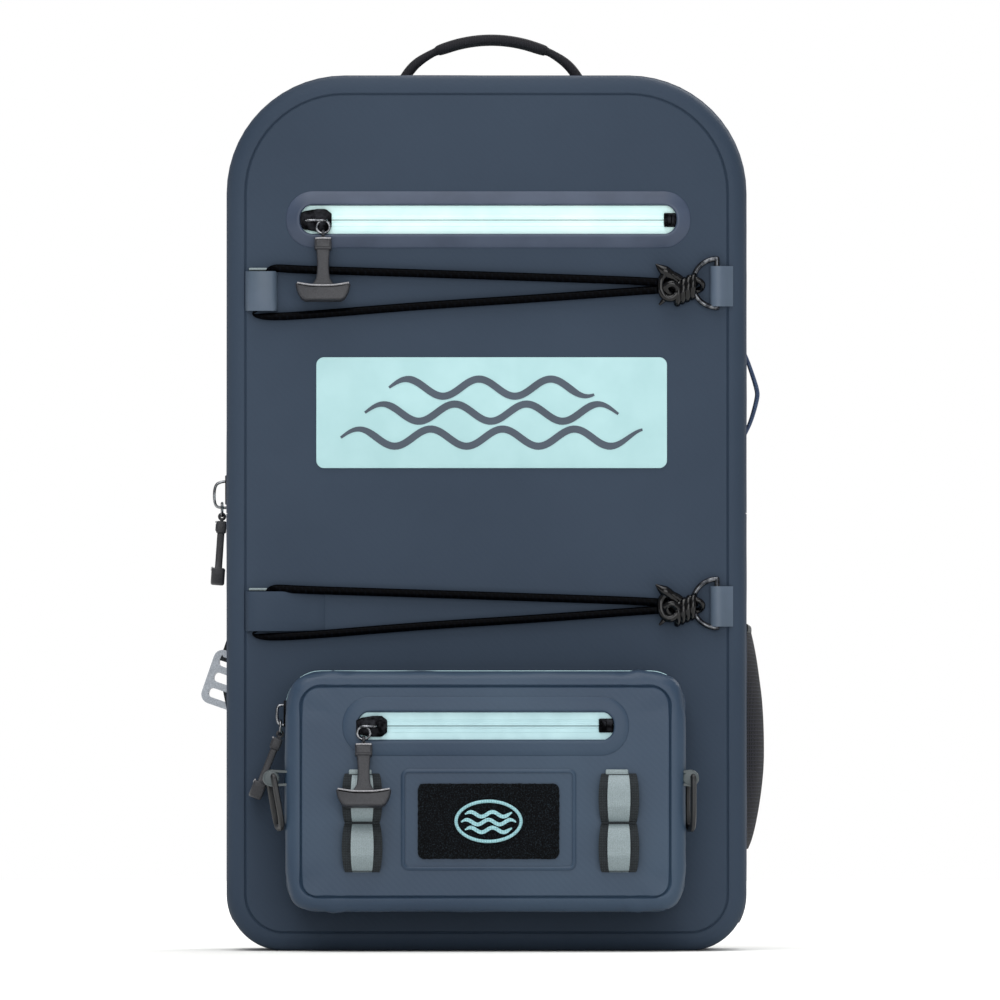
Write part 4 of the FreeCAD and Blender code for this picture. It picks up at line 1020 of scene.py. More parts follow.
# pouch
pouch = {
    "crown": 22, "foot": 19.5, "frontRim": 8, "rearRim": 4, "wall": 1.9, "faceLine": -127,
    "zipLine": -98.5, "tapeHalf": 6, "tapeLow": 60, "tapeWall": 1.1, "coil": 0.25, "soft": 1.1,
    "grid": 6, "frontGrid": 5, "seamAway": 0.4, "seamWide": 2.2, "seamDeep": 1.5,
    "calmWide": 84, "calmTall": 46, "middle": 101, "folds": 11, "foldHigh": 1.1,
}
pouchLow, pouchHigh = nodeBox("pouch_front_panel")[0], nodeBox("pouch_back_shell")[1]
pouchSlot = {"left": -84.5, "right": 81.5, "low": 135.6, "high": 153.0}


def pouchBlock():
    return roundedBlock(pouchLow, pouchHigh, pouch["crown"], pouch["foot"], pouch["frontRim"],
                        pouch["rearRim"], 10, 7)


def pouchSoftness(place):
    # small puckers at the four corners of the front, none near the zip and the patch
    across = abs(place.x - (pouchLow.x + pouchHigh.x) / 2)
    corner = Vector((max(0.0, across - pouch["calmWide"]), 0,
                     max(0.0, abs(place.z - pouch["middle"]) - pouch["calmTall"])))
    pucker = min(1.0, corner.length / 26)
    ray = math.atan2(corner.z, corner.x + 0.01)
    start = min(1.0, max(0.0, corner.length - 6) / 14)
    folds = math.sin(ray * pouch["folds"] + 1.3) * pouch["foldHigh"] * pucker * start
    loose = wobble(place, 30, 3.0) * 0.6 + wobble(place, 11, 7.0) * 0.25
    near = 0.25 if place.y < pouchLow.y + 2 else 1.0
    sewn = min(1.0, max(0.0, pouch["faceLine"] - 0.5 - place.y) / 6)
    return sewn * (near * pouch["soft"] * loose + folds * (0.7 if near == 1.0 else 0.35))


def pouchWall(name, body, nodes, y, z, soft=None):
    # the part of the pouch between two levels along Y and Z
    mesh = pouchBlock()
    trim(mesh, yAxis, *y)
    trim(mesh, zAxis, *z)
    sliceAt(mesh, yAxis, span(y[0] or pouchLow.y, y[1] or pouchHigh.y, pouch["grid"]))
    sliceAt(mesh, zAxis, span(pouchLow.z, pouchHigh.z, pouch["grid"]))
    sliceAt(mesh, xAxis, span(pouchLow.x, pouchHigh.x, pouch["grid"]))
    puff(mesh, soft or (lambda place: 0.0))
    thicken(mesh, pouch["wall"])
    finishPiece(name, mesh, "pouchCloth", body, nodes)


def pouchFront():
    mesh = pouchBlock()
    face = max(facing(mesh, -yAxis), key=lambda found: found.calc_area())
    # the rim is puffed, then a welded line runs round before the flat face
    groove(mesh, face, pouch["seamAway"], pouch["seamWide"], pouch["seamDeep"])
    trim(mesh, yAxis, None, pouch["faceLine"])
    sliceAt(mesh, xAxis, span(pouchLow.x, pouchHigh.x, pouch["frontGrid"])
            + [pouchSlot["left"], pouchSlot["right"]])
    sliceAt(mesh, zAxis, span(pouchLow.z, pouchHigh.z, pouch["frontGrid"])
            + [pouchSlot["low"], pouchSlot["high"]])
    sliceAt(mesh, yAxis, span(pouchLow.y, pouch["faceLine"], 4))
    openSlot(mesh, pouchSlot, pouchLow.y)
    puff(mesh, pouchSoftness)
    thicken(mesh, pouch["wall"])
    finishPiece("pouch_front_skin", mesh, "pouchCloth", "pouch_front",
                ("pouch_front_panel",), 50)


def pouchTape(name, body, node, y):
    mesh = pouchBlock()
    trim(mesh, yAxis, *y)
    trim(mesh, zAxis, pouch["tapeLow"], None)
    lines = [pouch["zipLine"] + side * away for side in (-1, 1) for away in (0.8, 1.4, 3.4, 4.0)]
    sliceAt(mesh, yAxis, [line for line in lines if y[0] < line < y[1]])
    sliceAt(mesh, zAxis, span(pouch["tapeLow"], pouchHigh.z, 12))

    def profile(place):
        away = abs(place.y - pouch["zipLine"])
        return 0.3 - 0.8 * max(0.0, 0.7 - away) if away < 1.1 else -0.4

    puff(mesh, profile)
    thicken(mesh, pouch["tapeWall"])
    # the pouch's zip tape takes the darker mint, which is painted shade
    finishPiece(name, mesh, "shadedMintZip", body, (node,))


pouchFront()
zipAt, tapeHalf, coil = pouch["zipLine"], pouch["tapeHalf"], pouch["coil"]


def pouchSideSoftness(place):
    away = min(1.0, max(0.0, abs(place.y - zipAt) - tapeHalf - 1) / 8)
    return 0.7 * wobble(place, 24, 4.0) * away


pouchWall("pouch_side_wall", "pouch_front", ("pouch_gusset",),
          (pouch["faceLine"], zipAt - tapeHalf), (None, None), pouchSideSoftness)
pouchWall("pouch_side_foot_front", "pouch_front", (), (zipAt - tapeHalf, zipAt - 0.2),
          (None, pouch["tapeLow"]))
pouchWall("pouch_back_skin", "pouch_rear", ("pouch_back_shell",), (zipAt + tapeHalf, None),
          (None, None))
pouchWall("pouch_side_foot_rear", "pouch_rear", (), (zipAt + 0.1, zipAt + tapeHalf),
          (None, pouch["tapeLow"]))
pouchTape("pouch_zip_front", "pouch_front", "pouch_tape_front", (zipAt - tapeHalf, zipAt - coil))
pouchTape("pouch_zip_rear", "pouch_rear", "pouch_tape_rear", (zipAt + coil, zipAt + tapeHalf))
pouchPocket = {"opening": (-82.0, 81.0, 135.4, 153.2), "face": -142, "margin": 10, "proud": 1.3}
# the pocket tape takes the darker mint too: painted shade
flatZip("pouch_pocket", "pouch_front", pouchPocket, "shadedMintZip", "pouchCloth")
zipEnd("pouch_pocket", "pouch_front", 76.4, -141.8, 144.6)
print("pouch shell ready")


patch = {"frameOut": 10.9, "frameUnder": 7.5, "frameOver": 9.5, "frameBend": 5, "pitch": 1.2,
         "bend": 4, "ovalWide": 21, "ovalTall": 13, "waves": ((4.5, 15), (-0.5, 17.5), (-5.5, 15))}


def makeLoopPatch():
    low, high = nodeBox("loop_patch")
    # raised weld line round the patch
    out, face = patch["frameOut"], high.y
    rim = roundedPlate(low.x - out, high.x + out, low.z - patch["frameUnder"],
                       high.z + patch["frameOver"], face + 0.4, 0.6, patch["frameBend"], 0, 6)
    front = max(facing(rim, -yAxis), key=lambda found: found.calc_area())
    for width, rise in ((0.7, 0.7), (1.0, 0.2), (0.9, -0.5), (0.3, -1.0)):
        inset(rim, [front], width, rise)
    hidden = set(facing(rim, yAxis)) | {front}
    bmesh.ops.delete(rim, geom=list(hidden), context="FACES")
    finishPiece("patch_weld_frame", rim, "pouchCloth", "pouch_front")

    pad = roundedPlate(low.x, high.x, low.z, high.z, high.y + 0.4, 1.9, patch["bend"], 0.5, 6)
    sliceAt(pad, xAxis, span(low.x, high.x, patch["pitch"]))
    sliceAt(pad, zAxis, span(low.z, high.z, patch["pitch"]))
    draw = random.Random(11)
    pad.verts.ensure_lookup_table()
    for point in pad.verts:
        if point.co.y < high.y - 0.5:
            point.co += Vector((draw.uniform(-0.3, 0.3), draw.uniform(-0.5, 0.25),
                                draw.uniform(-0.3, 0.3)))
    finishPiece("loop_pad", pad, "loopPile", "pouch_front", ("loop_patch",), 80)

    # plain stitched emblem: an oval ring with three waves
    centre = (low + high) / 2
    face = low.y - 0.25
    wide, tall = patch["ovalWide"], patch["ovalTall"]
    emblem = curveMesh([(centre.x + wide * math.cos(turn), face, centre.z + tall * math.sin(turn))
                        for turn in (number * math.tau / 20 for number in range(20))],
                       1.1, closed=True, detail=4)
    for level, half in patch["waves"]:
        joined(emblem, waveLine(centre.x - half, centre.x + half, centre.z + level, face, 0.4, 14,
                                1.5, 2.4, 48))
    finishPiece("patch_emblem", emblem, "mintThread", "pouch_front")


daisy = {"half": 13, "stripe": 7.3, "low": 51, "high": 114, "proud": 8, "pinch": 0.16,
         "band": 1.6, "tackHalf": 11.2}


def daisyProfile(along):
    # along runs from 0 at the top to 1 at the foot; two loops with a bar tack between
    part = (along * 2) % 1.0 if along < 1 else 1.0
    return daisy["proud"] * math.sin(math.pi * part) ** 0.62


def makeDaisy(label, centre, node):
    face = pouchLow.y

    def strip(half, lift, thick):
        mesh = bmesh.new()
        bmesh.ops.create_grid(mesh, x_segments=6, y_segments=72, size=0.5)
        for point in mesh.verts:
            along = 0.5 - point.co.y
            out = daisyProfile(along)
            squeeze = 1 - daisy["pinch"] * (1 - out / daisy["proud"])
            z = daisy["high"] - along * (daisy["high"] - daisy["low"])
            point.co = Vector((centre + point.co.x * 2 * half * squeeze,
                               face - 0.5 - min(out, daisy["proud"] - thick - 0.2) - lift, z))
        faceTo(mesh, -yAxis)
        thicken(mesh, thick, False)
        return mesh

    band = strip(daisy["half"], 0, daisy["band"])
    foldEdge = roundedPlate(centre - 8.5, centre + 6, daisy["high"] - 1.0, daisy["high"] + 2.6,
                            face, 2.2, 0.8, 0.4, 2)
    for level in (daisy["high"] - 1.2, (daisy["high"] + daisy["low"]) / 2, daisy["low"] + 1.2):
        tack = roundedPlate(centre - daisy["tackHalf"], centre + daisy["tackHalf"], level - 0.8,
                            level + 0.8, face - 1.4, 1.2, 0.6, 0.3, 2)
        joined(band, tack)
    finishPiece(f"daisy_band_{label}", band, "webbing", "pouch_front", node, 60)
    stripe = joined(strip(daisy["stripe"], 0.3, 0.5), foldEdge)
    finishPiece(f"daisy_stripe_{label}", stripe, "reflective", "pouch_front", (), 60)


sideRing = {"tabY": -130.5, "tabZ": 111.0, "tabHalf": 8.4, "tabTall": 5.4, "half": 12.2,
            "drop": 34, "turn": 11,
            "left": {"wall": -128.0, "proud": 15, "bar": -137.6, "lean": 10},
            "right": {"wall": 126.7, "proud": 9, "bar": 130.3, "lean": 0}}


def makeSideTab(label, sign):
    # webbing folded round the bar of a moulded ring, welded to the side of the pouch
    y, z, bend = sideRing["tabY"], sideRing["tabZ"], sideRing["tabTall"]
    wall, proud = sideRing[label]["wall"], sideRing[label]["proud"]
    outer = wall + sign * proud
    upper = [(wall - sign * 1, bend - 0.6), (wall + sign * (proud - bend), bend),
             (outer - sign * 1.6, bend * 0.7)]
    profile = ([(x, 0, z + up) for x, up in upper] + [(outer, 0, z)]
               + [(x, 0, z - up) for x, up in reversed(upper)])
    mesh = ribbon(profile, yAxis, y - sideRing["tabHalf"], y + sideRing["tabHalf"], 0, 2)
    mesh.normal_update()
    centre = Vector((wall, y, z))
    if sum(face.normal.dot(face.calc_center_median() - centre) for face in mesh.faces) < 0:
        bmesh.ops.reverse_faces(mesh, faces=mesh.faces)
    thicken(mesh, 1.5, False)
    hub = bmesh.new()
    bmesh.ops.create_cone(hub, cap_ends=True, segments=28, radius1=bend, radius2=bend,
                          depth=2 * sideRing["tabHalf"] + 0.4)
    bevelEdges(hub, [edge for edge in hub.edges if edge.calc_face_angle(0) > 1], 1.6, 4)
    turnBy(hub, math.pi / 2, "X")
    moveBy(hub, (outer - sign * bend, y, z))
    joined(mesh, hub)
    finishPiece(f"side_tab_{label}", mesh, "rolledTab", "pouch_front",
                ("side_ring_tabs",) if label == "left" else (), 60)


def makeSideRing(label):
    half, drop = sideRing["half"] - 2.2, sideRing["drop"]
    outline = [(0, -half, 0), (0, -half, -drop * 0.3), (0, -half, -drop * 0.75),
               (0, -half * 0.7, -drop * 0.95), (0, 0, -drop + 2), (0, half * 0.7, -drop * 0.95),
               (0, half, -drop * 0.75), (0, half, -drop * 0.3), (0, half, 0), (0, half * 0.8, 1.0),
               (0, -half * 0.8, 1.0)]
    mesh = curveMesh(outline, strapSection(3.6, 3.8, 0.3), closed=True, detail=5)
    bmesh.ops.rotate(mesh, cent=(0, 0, 0), verts=mesh.verts,
                     matrix=Matrix.Rotation(math.radians(-sideRing[label]["lean"]), 3, "Y")
                     @ Matrix.Rotation(math.radians(sideRing["turn"]), 3, "Z"))
    moveBy(mesh, (sideRing[label]["bar"], sideRing["tabY"], sideRing["tabZ"]))
    finishPiece(f"side_ring_loop_{label}", mesh, "blackAcetal", f"side_ring_{label}",
                (f"side_ring_{label}",), 50)


makeLoopPatch()
makeDaisy("left", -79.4, ("daisy_webbing",))
makeDaisy("right", 84.5, ())
makeSideTab("left", -1)
makeSideTab("right", 1)
makeSideRing("left")
makeSideRing("right")


hookPanel = {"thick": 1.6, "bend": 6, "rowGap": 5, "rowHalf": 0.9, "border": 5}


def makeHookPanel():
    low, high = nodeBox("hook_panel")
    mesh = roundedPlate(low.x, high.x, low.z, high.z, high.y + 0.3, hookPanel["thick"],
                        hookPanel["bend"], 0.3, 6)
    half, border = hookPanel["rowHalf"], hookPanel["border"]
    for level in span(low.z + 4, high.z - 4, hookPanel["rowGap"]):
        row = ribbon([(0, low.y + 0.9, level - half), (0, low.y + 0.1, level),
                      (0, low.y + 0.9, level + half)], xAxis, low.x + border, high.x - border, 0)
        joined(mesh, row)
    finishPiece("hook_pad", mesh, "loopPile", "root", ("hook_panel",))


makeHookPanel()
print("pouch details ready")


# handles and side pocket
handle = {"wide": 11, "thick": 3.8, "footLeft": -56.0, "footRight": 62.0, "footTop": 559.9,
          "footHalf": 8, "footDeep": 12, "bendLow": 560, "bendHigh": 570,
          "sideWide": 25, "sideThick": 2.2}


def makeTopHandle():
    low, high = nodeBox("top_handle")
    y = (low.y + high.y) / 2
    arch = [(-54.5, y, 557, 1.4), (-50.5, y, 563.5, 1.45), (-44.5, y, 570.0, 1.35),
            (-36, y, 575.2, 1.1), (-32, y, 577.0, 1.1), (-31, y, 577.5, 1.6), (-15, y, 582.7, 1.6),
            (3, y, 584.6, 1.6), (21, y, 582.7, 1.6), (37.5, y, 577.3, 1.6), (38.5, y, 576.9, 1.1),
            (42, y, 575.4, 1.1), (50.5, y, 570.0, 1.35), (56.5, y, 563.5, 1.45),
            (60.5, y, 557, 1.4)]
    mesh = curveMesh(arch, strapSection(handle["wide"], handle["thick"], 0.4), detail=5)
    strap = finishPiece("carry_handle", mesh, "handleWebbing", None,
                        ("top_handle", "handle_risers"), 60)
    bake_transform(strap)
    for side, x in (("left", handle["footLeft"]), ("right", handle["footRight"])):
        half, deep = handle["footHalf"], handle["footDeep"]
        foot = roundedPlate(x - half, x + half, y - deep, y + deep, 0, 1.4, 4, 0.5, 5)
        turnBy(foot, -math.pi / 2, "X")
        moveBy(foot, (0, 0, handle["footTop"]))
        finishPiece(f"handle_foot_{side}", foot, "trimFilm", "root")


def makeSideHandle():
    low, high = nodeBox("side_grab_handle")
    y = (low.y + high.y) / 2
    wall = low.x
    route = [(wall - 1, y, high.z - 1, 0.9), (wall + 0.6, y, high.z - 4, 0.9),
             (wall + 4.2, y, high.z - 14, 1.0), (wall + 8.0, y, high.z - 26, 1.1),
             (wall + 8.0, y, low.z + 26, 1.1), (wall + 4.2, y, low.z + 12, 1.0),
             (wall + 0.6, y, low.z + 4, 0.9), (wall - 1, y, low.z + 1, 0.9)]
    mesh = curveMesh(route, strapSection(handle["sideWide"], handle["sideThick"], 0.3))
    finishPiece("side_handle", mesh, "sideWebbing", "root",
                ("side_grab_handle",), 60)


sidePocket = {"deeper": 0.6, "slack": 0.5, "dip": 5.0, "cloth": 0.9, "moreWide": 12, "moreTall": 6,
              "hem": 5.4, "hemDrop": 2.4, "binding": 2.5}


def makeMeshPocket():
    low, high = nodeBox("mesh_side_pocket")
    wide, tall = high.y - low.y, high.z - low.z
    deep = high.x - low.x + sidePocket["deeper"]
    mesh = bmesh.new()
    bmesh.ops.create_grid(mesh, x_segments=28, y_segments=34, size=0.5)
    layFlat(mesh, wide, tall)
    for point in mesh.verts:
        across, up = point.co.x * 2, point.co.y + 0.5
        bow = 1 - abs(across) ** 3
        mouth = math.sin(math.pi * (0.02 + 0.94 * up ** 0.9)) ** 0.75
        slack = sidePocket["slack"] * wobble(Vector((across * 30, up * 50, 0)), 12)
        dip = -sidePocket["dip"] * (1 - across * across) * max(0.0, up - 0.6)
        point.co = Vector((low.x + 0.4 + deep * bow * mouth + slack * bow,
                           (low.y + high.y) / 2 + across * wide / 2,
                           low.z + up * tall + dip))
    faceTo(mesh, xAxis)
    area = sum(face.calc_area() for face in mesh.faces) * toMetres ** 2
    top = [point.co.copy() for point in mesh.verts
           if point.co.z > high.z - 7 and any(edge.is_boundary for edge in point.link_edges)]
    top = [place for place in top if abs(place.z - max(
        other.z for other in top if abs(other.y - place.y) < 1)) < 0.01]
    top.sort(key=lambda place: place.y)
    thicken(mesh, sidePocket["cloth"], False)
    pocket = finishPiece("stretch_pocket", mesh, "openMesh", "root",
                         ("mesh_side_pocket",), 60)
    hem = curveMesh([tuple(place - zAxis * sidePocket["hemDrop"]) for place in top[::3]],
                    strapSection(sidePocket["hem"], 1.9, 0.3), detail=4, tilt=math.pi / 2)
    band = finishPiece("pocket_hem", hem, "webbing", "root", (), 60)
    half = sidePocket["binding"]
    for label, y in (("front", low.y), ("rear", high.y)):
        edge = roundedPlate(y - half, y + half, low.z, high.z, 0, 1.0, 2, 0.4, 3)
        turnBy(edge, math.pi / 2, "Z")
        moveBy(edge, (low.x - 0.2, 0, 0))
        finishPiece(f"pocket_binding_{label}", edge, "webbing", "root")


makeTopHandle()
makeSideHandle()
makeMeshPocket()
print("handles and side pocket ready")


# back and straps
pads = {"shrink": 1.4, "voxel": 5.0, "pressure": 4.0, "cap": 2.6, "frames": 20, "bend": 22,
        "inner": 15.0, "channels": (165, 265, 365), "channelHalf": 5.0, "channelDeep": 0.38,
        "fill": 0.7, "strapFill": 0.8}


def puffed(piece):
    # the foam swells against its cover: cloth with inner pressure, and no point goes far
    rest = [point.co.copy() for point in piece.data.vertices]
    cloth = piece.modifiers.new("swell", "CLOTH")
    cloth.settings.use_pressure = True
    cloth.settings.uniform_pressure_force = pads["pressure"]
    cloth.settings.effector_weights.gravity = 0
    cloth.settings.quality = 4
    scene = bpy.context.scene
    for number in range(1, pads["frames"] + 1):
        scene.frame_set(number)
    swollen = bakedMesh(piece)
    piece.modifiers.clear()
    for point, start in zip(swollen.vertices, rest):
        step = point.co - start
        limit = pads["cap"] * toMetres
        point.co = start + step * min(1.0, limit / max(step.length, 1e-9))
    scene.frame_set(1)
    piece.data = swollen


def makeBackPad(label, left, right, low, high, y):
    shrink = pads["shrink"]
    block = roundedPlate(left + shrink, right - shrink, low + shrink, high - shrink,
                         -(y[0]), y[1] - y[0] - shrink, pads["bend"], 4, 8)
    turnBy(block, math.pi, "Z")
    moveBy(block, (left + right, 0, 0))
    piece = finishPiece(f"back_pad_{label}", block, "airMesh", None,
                        ("back_pads",) if label == "left" else ())
    remesh = piece.modifiers.new("even", "REMESH")
    remesh.mode = "VOXEL"
    remesh.voxel_size = pads["voxel"] * toMetres
    even = bakedMesh(piece)
    piece.modifiers.clear()
    piece.data = even
    puffed(piece)
    mesh = bmesh.new()
    mesh.from_mesh(piece.data)
    bmesh.ops.subdivide_edges(mesh, edges=mesh.edges, cuts=1, use_grid_fill=True, smooth=0.6)
    for point in mesh.verts:  # sewn channels across the pad, and a flat back on the shell
        place = point.co / toMetres
        channel = max(math.exp(-((place.z - level) / pads["channelHalf"]) ** 2)
                      for level in pads["channels"])
        height = (place.y - y[0]) * (1 - pads["channelDeep"] * channel)
        point.co.y = (y[0] + max(0.15, height)) * toMetres
    mesh.to_mesh(piece.data)
    mesh.free()
    piece.data.materials.clear()
    piece.data.materials.append(finish["airMesh"])
    piece.data.shade_smooth()
    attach(piece, "root")


def makeBack():
    low, high = nodeBox("back_pads")
    inner = pads["inner"]
    for label, left, right in (("left", low.x, -inner), ("right", inner, high.x)):
        makeBackPad(label, left, right, low.z, high.z, (low.y, high.y))
    low, high = nodeBox("yoke_patch")
    yoke = roundedPlate(-high.x, -low.x, low.z - 1, high.z + 1, -low.y + 0.3, 1.6, 7, 0.5, 6)
    for level in (low.z + 2.2, high.z - 2.2):
        for x in span(low.x + 6, high.x - 6, 3.6):
            stitch = bmesh.new()
            bmesh.ops.create_icosphere(stitch, subdivisions=1, radius=0.5)
            scaleBy(stitch, (2.4, 0.7, 0.7))
            moveBy(stitch, (x, -low.y - 1.35, level))
            joined(yoke, stitch)
    turnBy(yoke, math.pi, "Z")
    finishPiece("strap_yoke", yoke, "trimFilm", "root", ("yoke_patch",))
    recoat("frame_sheet", "frameSheet")


strap = {"wide": 65, "thick": 12, "bend": 400, "midZ": 330, "anchorZ": 512, "anchorX": 48,
         "stand": 0.4, "long": 317, "splay": {"left": 19.0, "right": -14.5},
         "lockDrop": 360, "lockTurn": 10, "lockTall": 36, "lockHalf": 15.6, "lockSlotHalf": 11.4,
         "lockSlotTall": 6, "lockSlots": (-13.5, -3, 7.5)}


def strapY(drop, inner):
    # y of the strap's middle surface at a drop below the anchor, on its bend
    back = shellHigh.y
    radius = strap["bend"]
    reach = strap["anchorZ"] - strap["midZ"]
    centre = back + strap["stand"] - math.sqrt((radius - strap["thick"] / 2) ** 2 - reach ** 2)
    return centre + math.sqrt((radius + inner) ** 2 - (reach - drop) ** 2)


def leaned(mesh, label, sign):
    bmesh.ops.rotate(mesh, cent=(0, 0, 0), verts=mesh.verts,
                     matrix=Matrix.Rotation(math.radians(strap["splay"][label]), 3, "Y"))
    moveBy(mesh, (sign * strap["anchorX"], 0, strap["anchorZ"]))


def makeStrap(label, sign):
    mesh = bmesh.new()
    bmesh.ops.create_cube(mesh, size=1)
    sliceAt(mesh, zAxis, [number / 60 - 0.5 for number in range(1, 60)])
    sliceAt(mesh, xAxis, [number / 16 - 0.5 for number in range(1, 16)])
    sliceAt(mesh, yAxis, [-0.25, 0, 0.25])
    for point in mesh.verts:
        across, deep, along = point.co.x * 2, point.co.y * 2, 0.5 - point.co.z
        drop = along * strap["long"]
        taper = 1 - 0.45 * max(0.0, along - 0.6) / 0.4
        edge = abs(across)
        crown = (1 - edge ** 4) ** 0.5 if edge < 1 else 0.0
        ends = min(1.0, 0.35 + min(along, 1 - along) * 16)
        channel = 1 - 0.22 * math.exp(-((edge - 0.72) / 0.07) ** 2)
        thick = strap["thick"] / 2 * (0.28 + 0.72 * crown * channel) * ends
        y = strapY(drop, deep * thick)
        point.co = Vector((across * (strap["wide"] / 2 - 0.6) * taper, y, -drop))
    leaned(mesh, label, sign)
    bmesh.ops.recalc_face_normals(mesh, faces=mesh.faces)
    body = f"strap_{label}"
    pad = finishPiece(f"shoulder_pad_{label}", mesh, "airMesh", body,
                      (f"shoulder_strap_{label}",), 70)

    # webbing sewn down the middle of the strap, on to the ladder lock
    route = [(0, strapY(drop, 0) + (6.4 if drop < strap["long"] - 20 else 2.0), -drop)
             for drop in range(10, int(strap["long"]), 30)]
    lockTop = strap["lockDrop"] - 14
    route += [(0, 103, -strap["long"] + 1), (0, 100.6, -strap["long"] - 12),
              (0, 99.6, -lockTop + 2), (0, 98.2, -lockTop - 3)]
    route = [place for place in route if place[1] > 0]
    band = curveMesh(route, strapSection(22, 1.5, 0))
    leaned(band, label, sign)
    finishPiece(f"strap_webbing_{label}", band, "webbing", body, (), 60)

    # moulded ladder lock: a rounded frame with cross bars
    tall, half, slot = strap["lockTall"], strap["lockHalf"], strap["lockSlotHalf"]
    holes = [roundedPlate(-slot, slot, level, level + strap["lockSlotTall"], 2, 9, 2.4, 0, 4)
             for level in strap["lockSlots"]]
    lock = cutAway(roundedPlate(-half, half, -tall / 2, tall / 2, 0, 4.6, 6, 0.9, 5), holes)
    lip = roundedPlate(-half + 3, half - 3, tall / 2 - 4, tall / 2 - 0.8, -3.4, 2.2, 1.5, 0.7, 3)
    joined(lock, lip)
    turnBy(lock, math.pi + sign * math.radians(strap["lockTurn"]), "Z")
    moveBy(lock, (0, 96.4, -strap["lockDrop"]))
    leaned(lock, label, sign)
    finishPiece(f"ladder_lock_frame_{label}", lock, "greyAcetal", body,
                (f"ladder_lock_{label}",), 40)
    makeAnchor(label, sign)
    makeLowerWebbing(label, sign)
    makeSternum(label)


anchor = {"half": 27, "thick": 1.5, "bendY": 86.4, "bendHigh": 532, "bendLow": 512,
          "rise": ((81.7, 25), (83.0, 18), (86.5, 10), (90.4, 2), (92.6, -7), (93.6, -15))}


def makeAnchor(label, sign):
    # cloth that runs from under the yoke over the top of the padded strap
    mesh = ribbon([(0, y, up) for y, up in anchor["rise"]], xAxis, -anchor["half"],
                  anchor["half"], 0, 8)
    faceTo(mesh, yAxis)
    thicken(mesh, anchor["thick"], False)
    leaned(mesh, label, sign)
    cloth = finishPiece(f"strap_anchor_{label}", mesh, "trimFilm", None, (), 60)
    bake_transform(cloth)


def cutAway(mesh, tools):
    # boolean cuts through a plate
    target = holderOf("target", mesh)
    cutters = [holderOf("tool", tool) for tool in tools]
    for cutter in cutters:
        step = target.modifiers.new("cut", "BOOLEAN")
        step.operation = "DIFFERENCE"
        step.solver = "EXACT"
        step.object = cutter
    data = bakedMesh(target)
    result = bmesh.new()
    result.from_mesh(data)
    bpy.data.meshes.remove(data)
    for holder in [target, *cutters]:
        bpy.data.objects.remove(holder)
    return result


def holderOf(name, mesh):
    data = bpy.data.meshes.new(name)
    mesh.to_mesh(data)
    mesh.free()
    holder = bpy.data.objects.new(name, data)
    bpy.context.scene.collection.objects.link(holder)
    return holder


lowerWebbing = {"footX": 138.5, "footY": 2.0, "footZ": 44, "wide": 18, "thick": 1.5,
                "wingHalf": 14.5, "wingLow": 22.5, "wingHigh": 61.5, "lockIn": 8}


def makeLowerWebbing(label, sign):
    turn = Matrix.Rotation(math.radians(strap["splay"][label]), 3, "Y")
    lock = (turn @ Vector((0, 0, -strap["lockDrop"] - 12))
            + Vector((sign * strap["anchorX"], 0, strap["anchorZ"])))
    foot = Vector((sign * lowerWebbing["footX"], shellHigh.y + lowerWebbing["footY"],
                   lowerWebbing["footZ"]))
    lockX = lock.x - sign * lowerWebbing["lockIn"]
    route = [(foot.x, foot.y - 0.6, 30), (foot.x, foot.y, 48), (foot.x, foot.y + 2, 72),
             (foot.x - sign * 1, 89, 100), (lockX - sign * 9, 94, 128),
             (lockX - sign * 2, 95.5, lock.z - 4), (lockX, 98.8, lock.z + 7)]
    band = curveMesh(route, strapSection(lowerWebbing["wide"], lowerWebbing["thick"]), detail=8)
    half = lowerWebbing["wingHalf"]
    wing = roundedPlate(foot.x - half, foot.x + half, lowerWebbing["wingLow"],
                        lowerWebbing["wingHigh"], 0, 1.8, 6, 0.6, 5)
    turnBy(wing, math.pi, "Z", (foot.x, 0, 0))
    moveBy(wing, (0, shellHigh.y, 0))
    belt = finishPiece(f"lower_webbing_belt_{label}", joined(band, wing), "webbing", None,
                       (f"lower_webbing_{label}",), 60)
    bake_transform(belt)


sternum = {"belt": 9.6, "beltFoot": 24, "buckle": 13.6, "buckleTall": 26, "thick": 6.4,
           "slot": 10, "slotLow": 19, "slotHigh": 23, "prong": 9, "prongLow": 3, "prongHigh": 13}


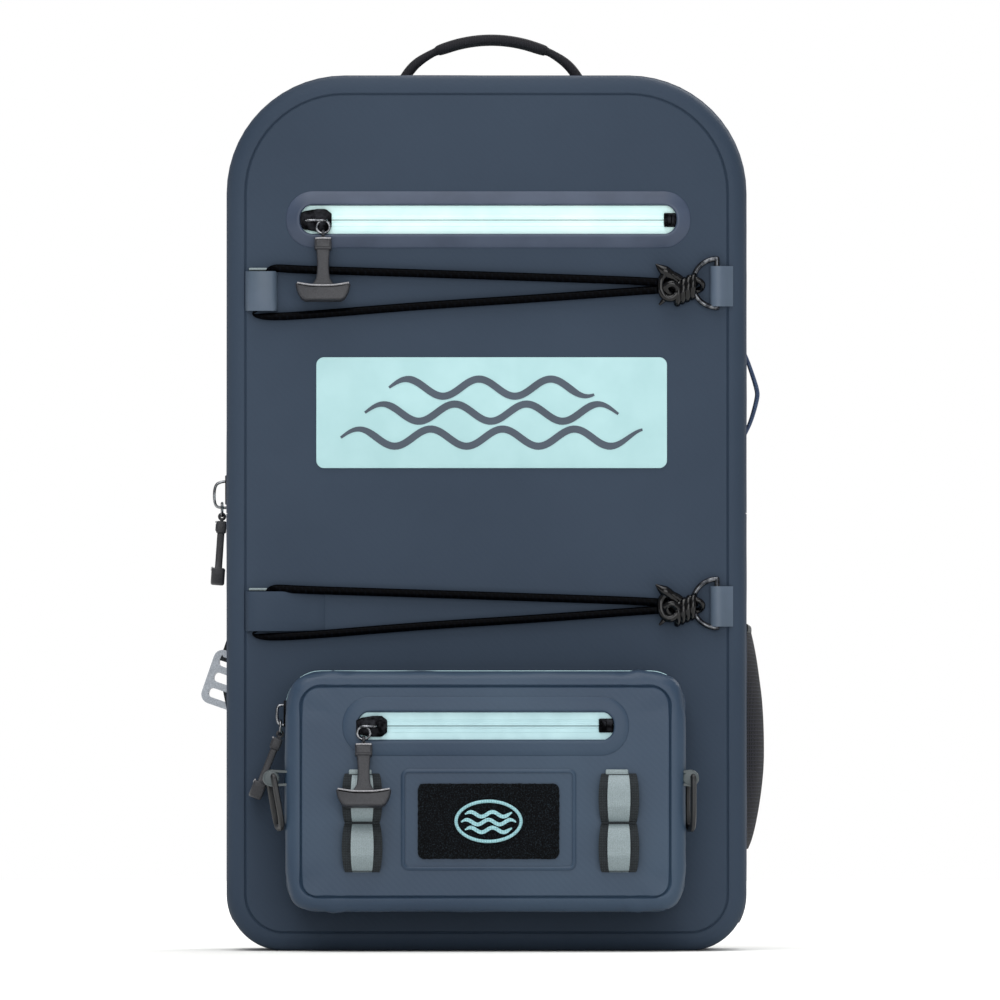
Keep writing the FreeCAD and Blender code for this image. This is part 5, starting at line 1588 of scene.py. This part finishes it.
def makeSternum(label):
    low, high = nodeBox(f"sternum_strap_{label}")
    x = (low.x + high.x) / 2

    def plate(half, foot, top, face, *shape):
        return roundedPlate(-x - half, -x + half, foot, top, face, *shape)

    belt = plate(sternum["belt"], low.z + sternum["beltFoot"], high.z, -low.y - 0.2,
                 1.6, 3, 0.5, 4)
    buckle = plate(sternum["buckle"], low.z, low.z + sternum["buckleTall"], -low.y,
                   sternum["thick"], 4, 1.2, 5)
    slotCut = plate(sternum["slot"], low.z + sternum["slotLow"], low.z + sternum["slotHigh"],
                    -low.y + 2, 12, 1.5, 0, 4)
    prong = plate(sternum["prong"], low.z + sternum["prongLow"], low.z + sternum["prongHigh"],
                  -low.y - 5.8, 1.2, 3, 0.5, 4)
    buckle = joined(cutAway(buckle, [slotCut]), prong)
    for piece in (belt, buckle):
        turnBy(piece, math.pi, "Z")
    finishPiece(f"sternum_belt_{label}", belt, "webbing", f"sternum_{label}",
                (f"sternum_strap_{label}",))
    finishPiece(f"sternum_buckle_{label}", buckle, "blackAcetal", f"sternum_{label}")


makeBack()
for side, direction in (("left", -1), ("right", 1)):
    makeStrap(side, direction)
print("back and straps ready")


# inside
liner = {"cells": 30, "ripple": 0.5, "rippleLong": 22, "cloth": 0.9}


def softPanel(name, low, high, face, bulge, material, node, body, bound):
    # a sheet sewn along its edges, loose in the middle; bulge moves it along Y
    wide, tall = high.x - low.x, high.z - low.z
    mesh = bmesh.new()
    bmesh.ops.create_grid(mesh, x_segments=liner["cells"], y_segments=liner["cells"], size=0.5)
    layFlat(mesh, wide, tall)
    for point in mesh.verts:
        across, up = point.co.x * 2, point.co.y * 2
        loose = (1 - across ** 4) * (1 - up ** 4 if bound else 1 - max(0.0, -up) ** 4)
        ripple = liner["ripple"] * wobble(Vector((across * 60, 0, up * 60)), liner["rippleLong"])
        point.co = Vector(((low.x + high.x) / 2 + across * wide / 2,
                           face + bulge * (0.75 * loose + ripple * loose),
                           (low.z + high.z) / 2 + up * tall / 2))
    faceTo(mesh, yAxis * bulge)
    thicken(mesh, liner["cloth"], False)
    sheet = finishPiece(name, mesh, material, body, (node,), 60)


low, high = nodeBox("inner_pocket")
softPanel("organiser_pocket", low, high, high.y - 0.8, -5.4, "openMesh",
          "inner_pocket", "root", False)
low, high = nodeBox("lid_pocket_liner")
softPanel("lid_liner", low, high, low.y + 1.6, 11.5, "liningCloth",
          "lid_pocket_liner", "lid", True)
print("inside ready")
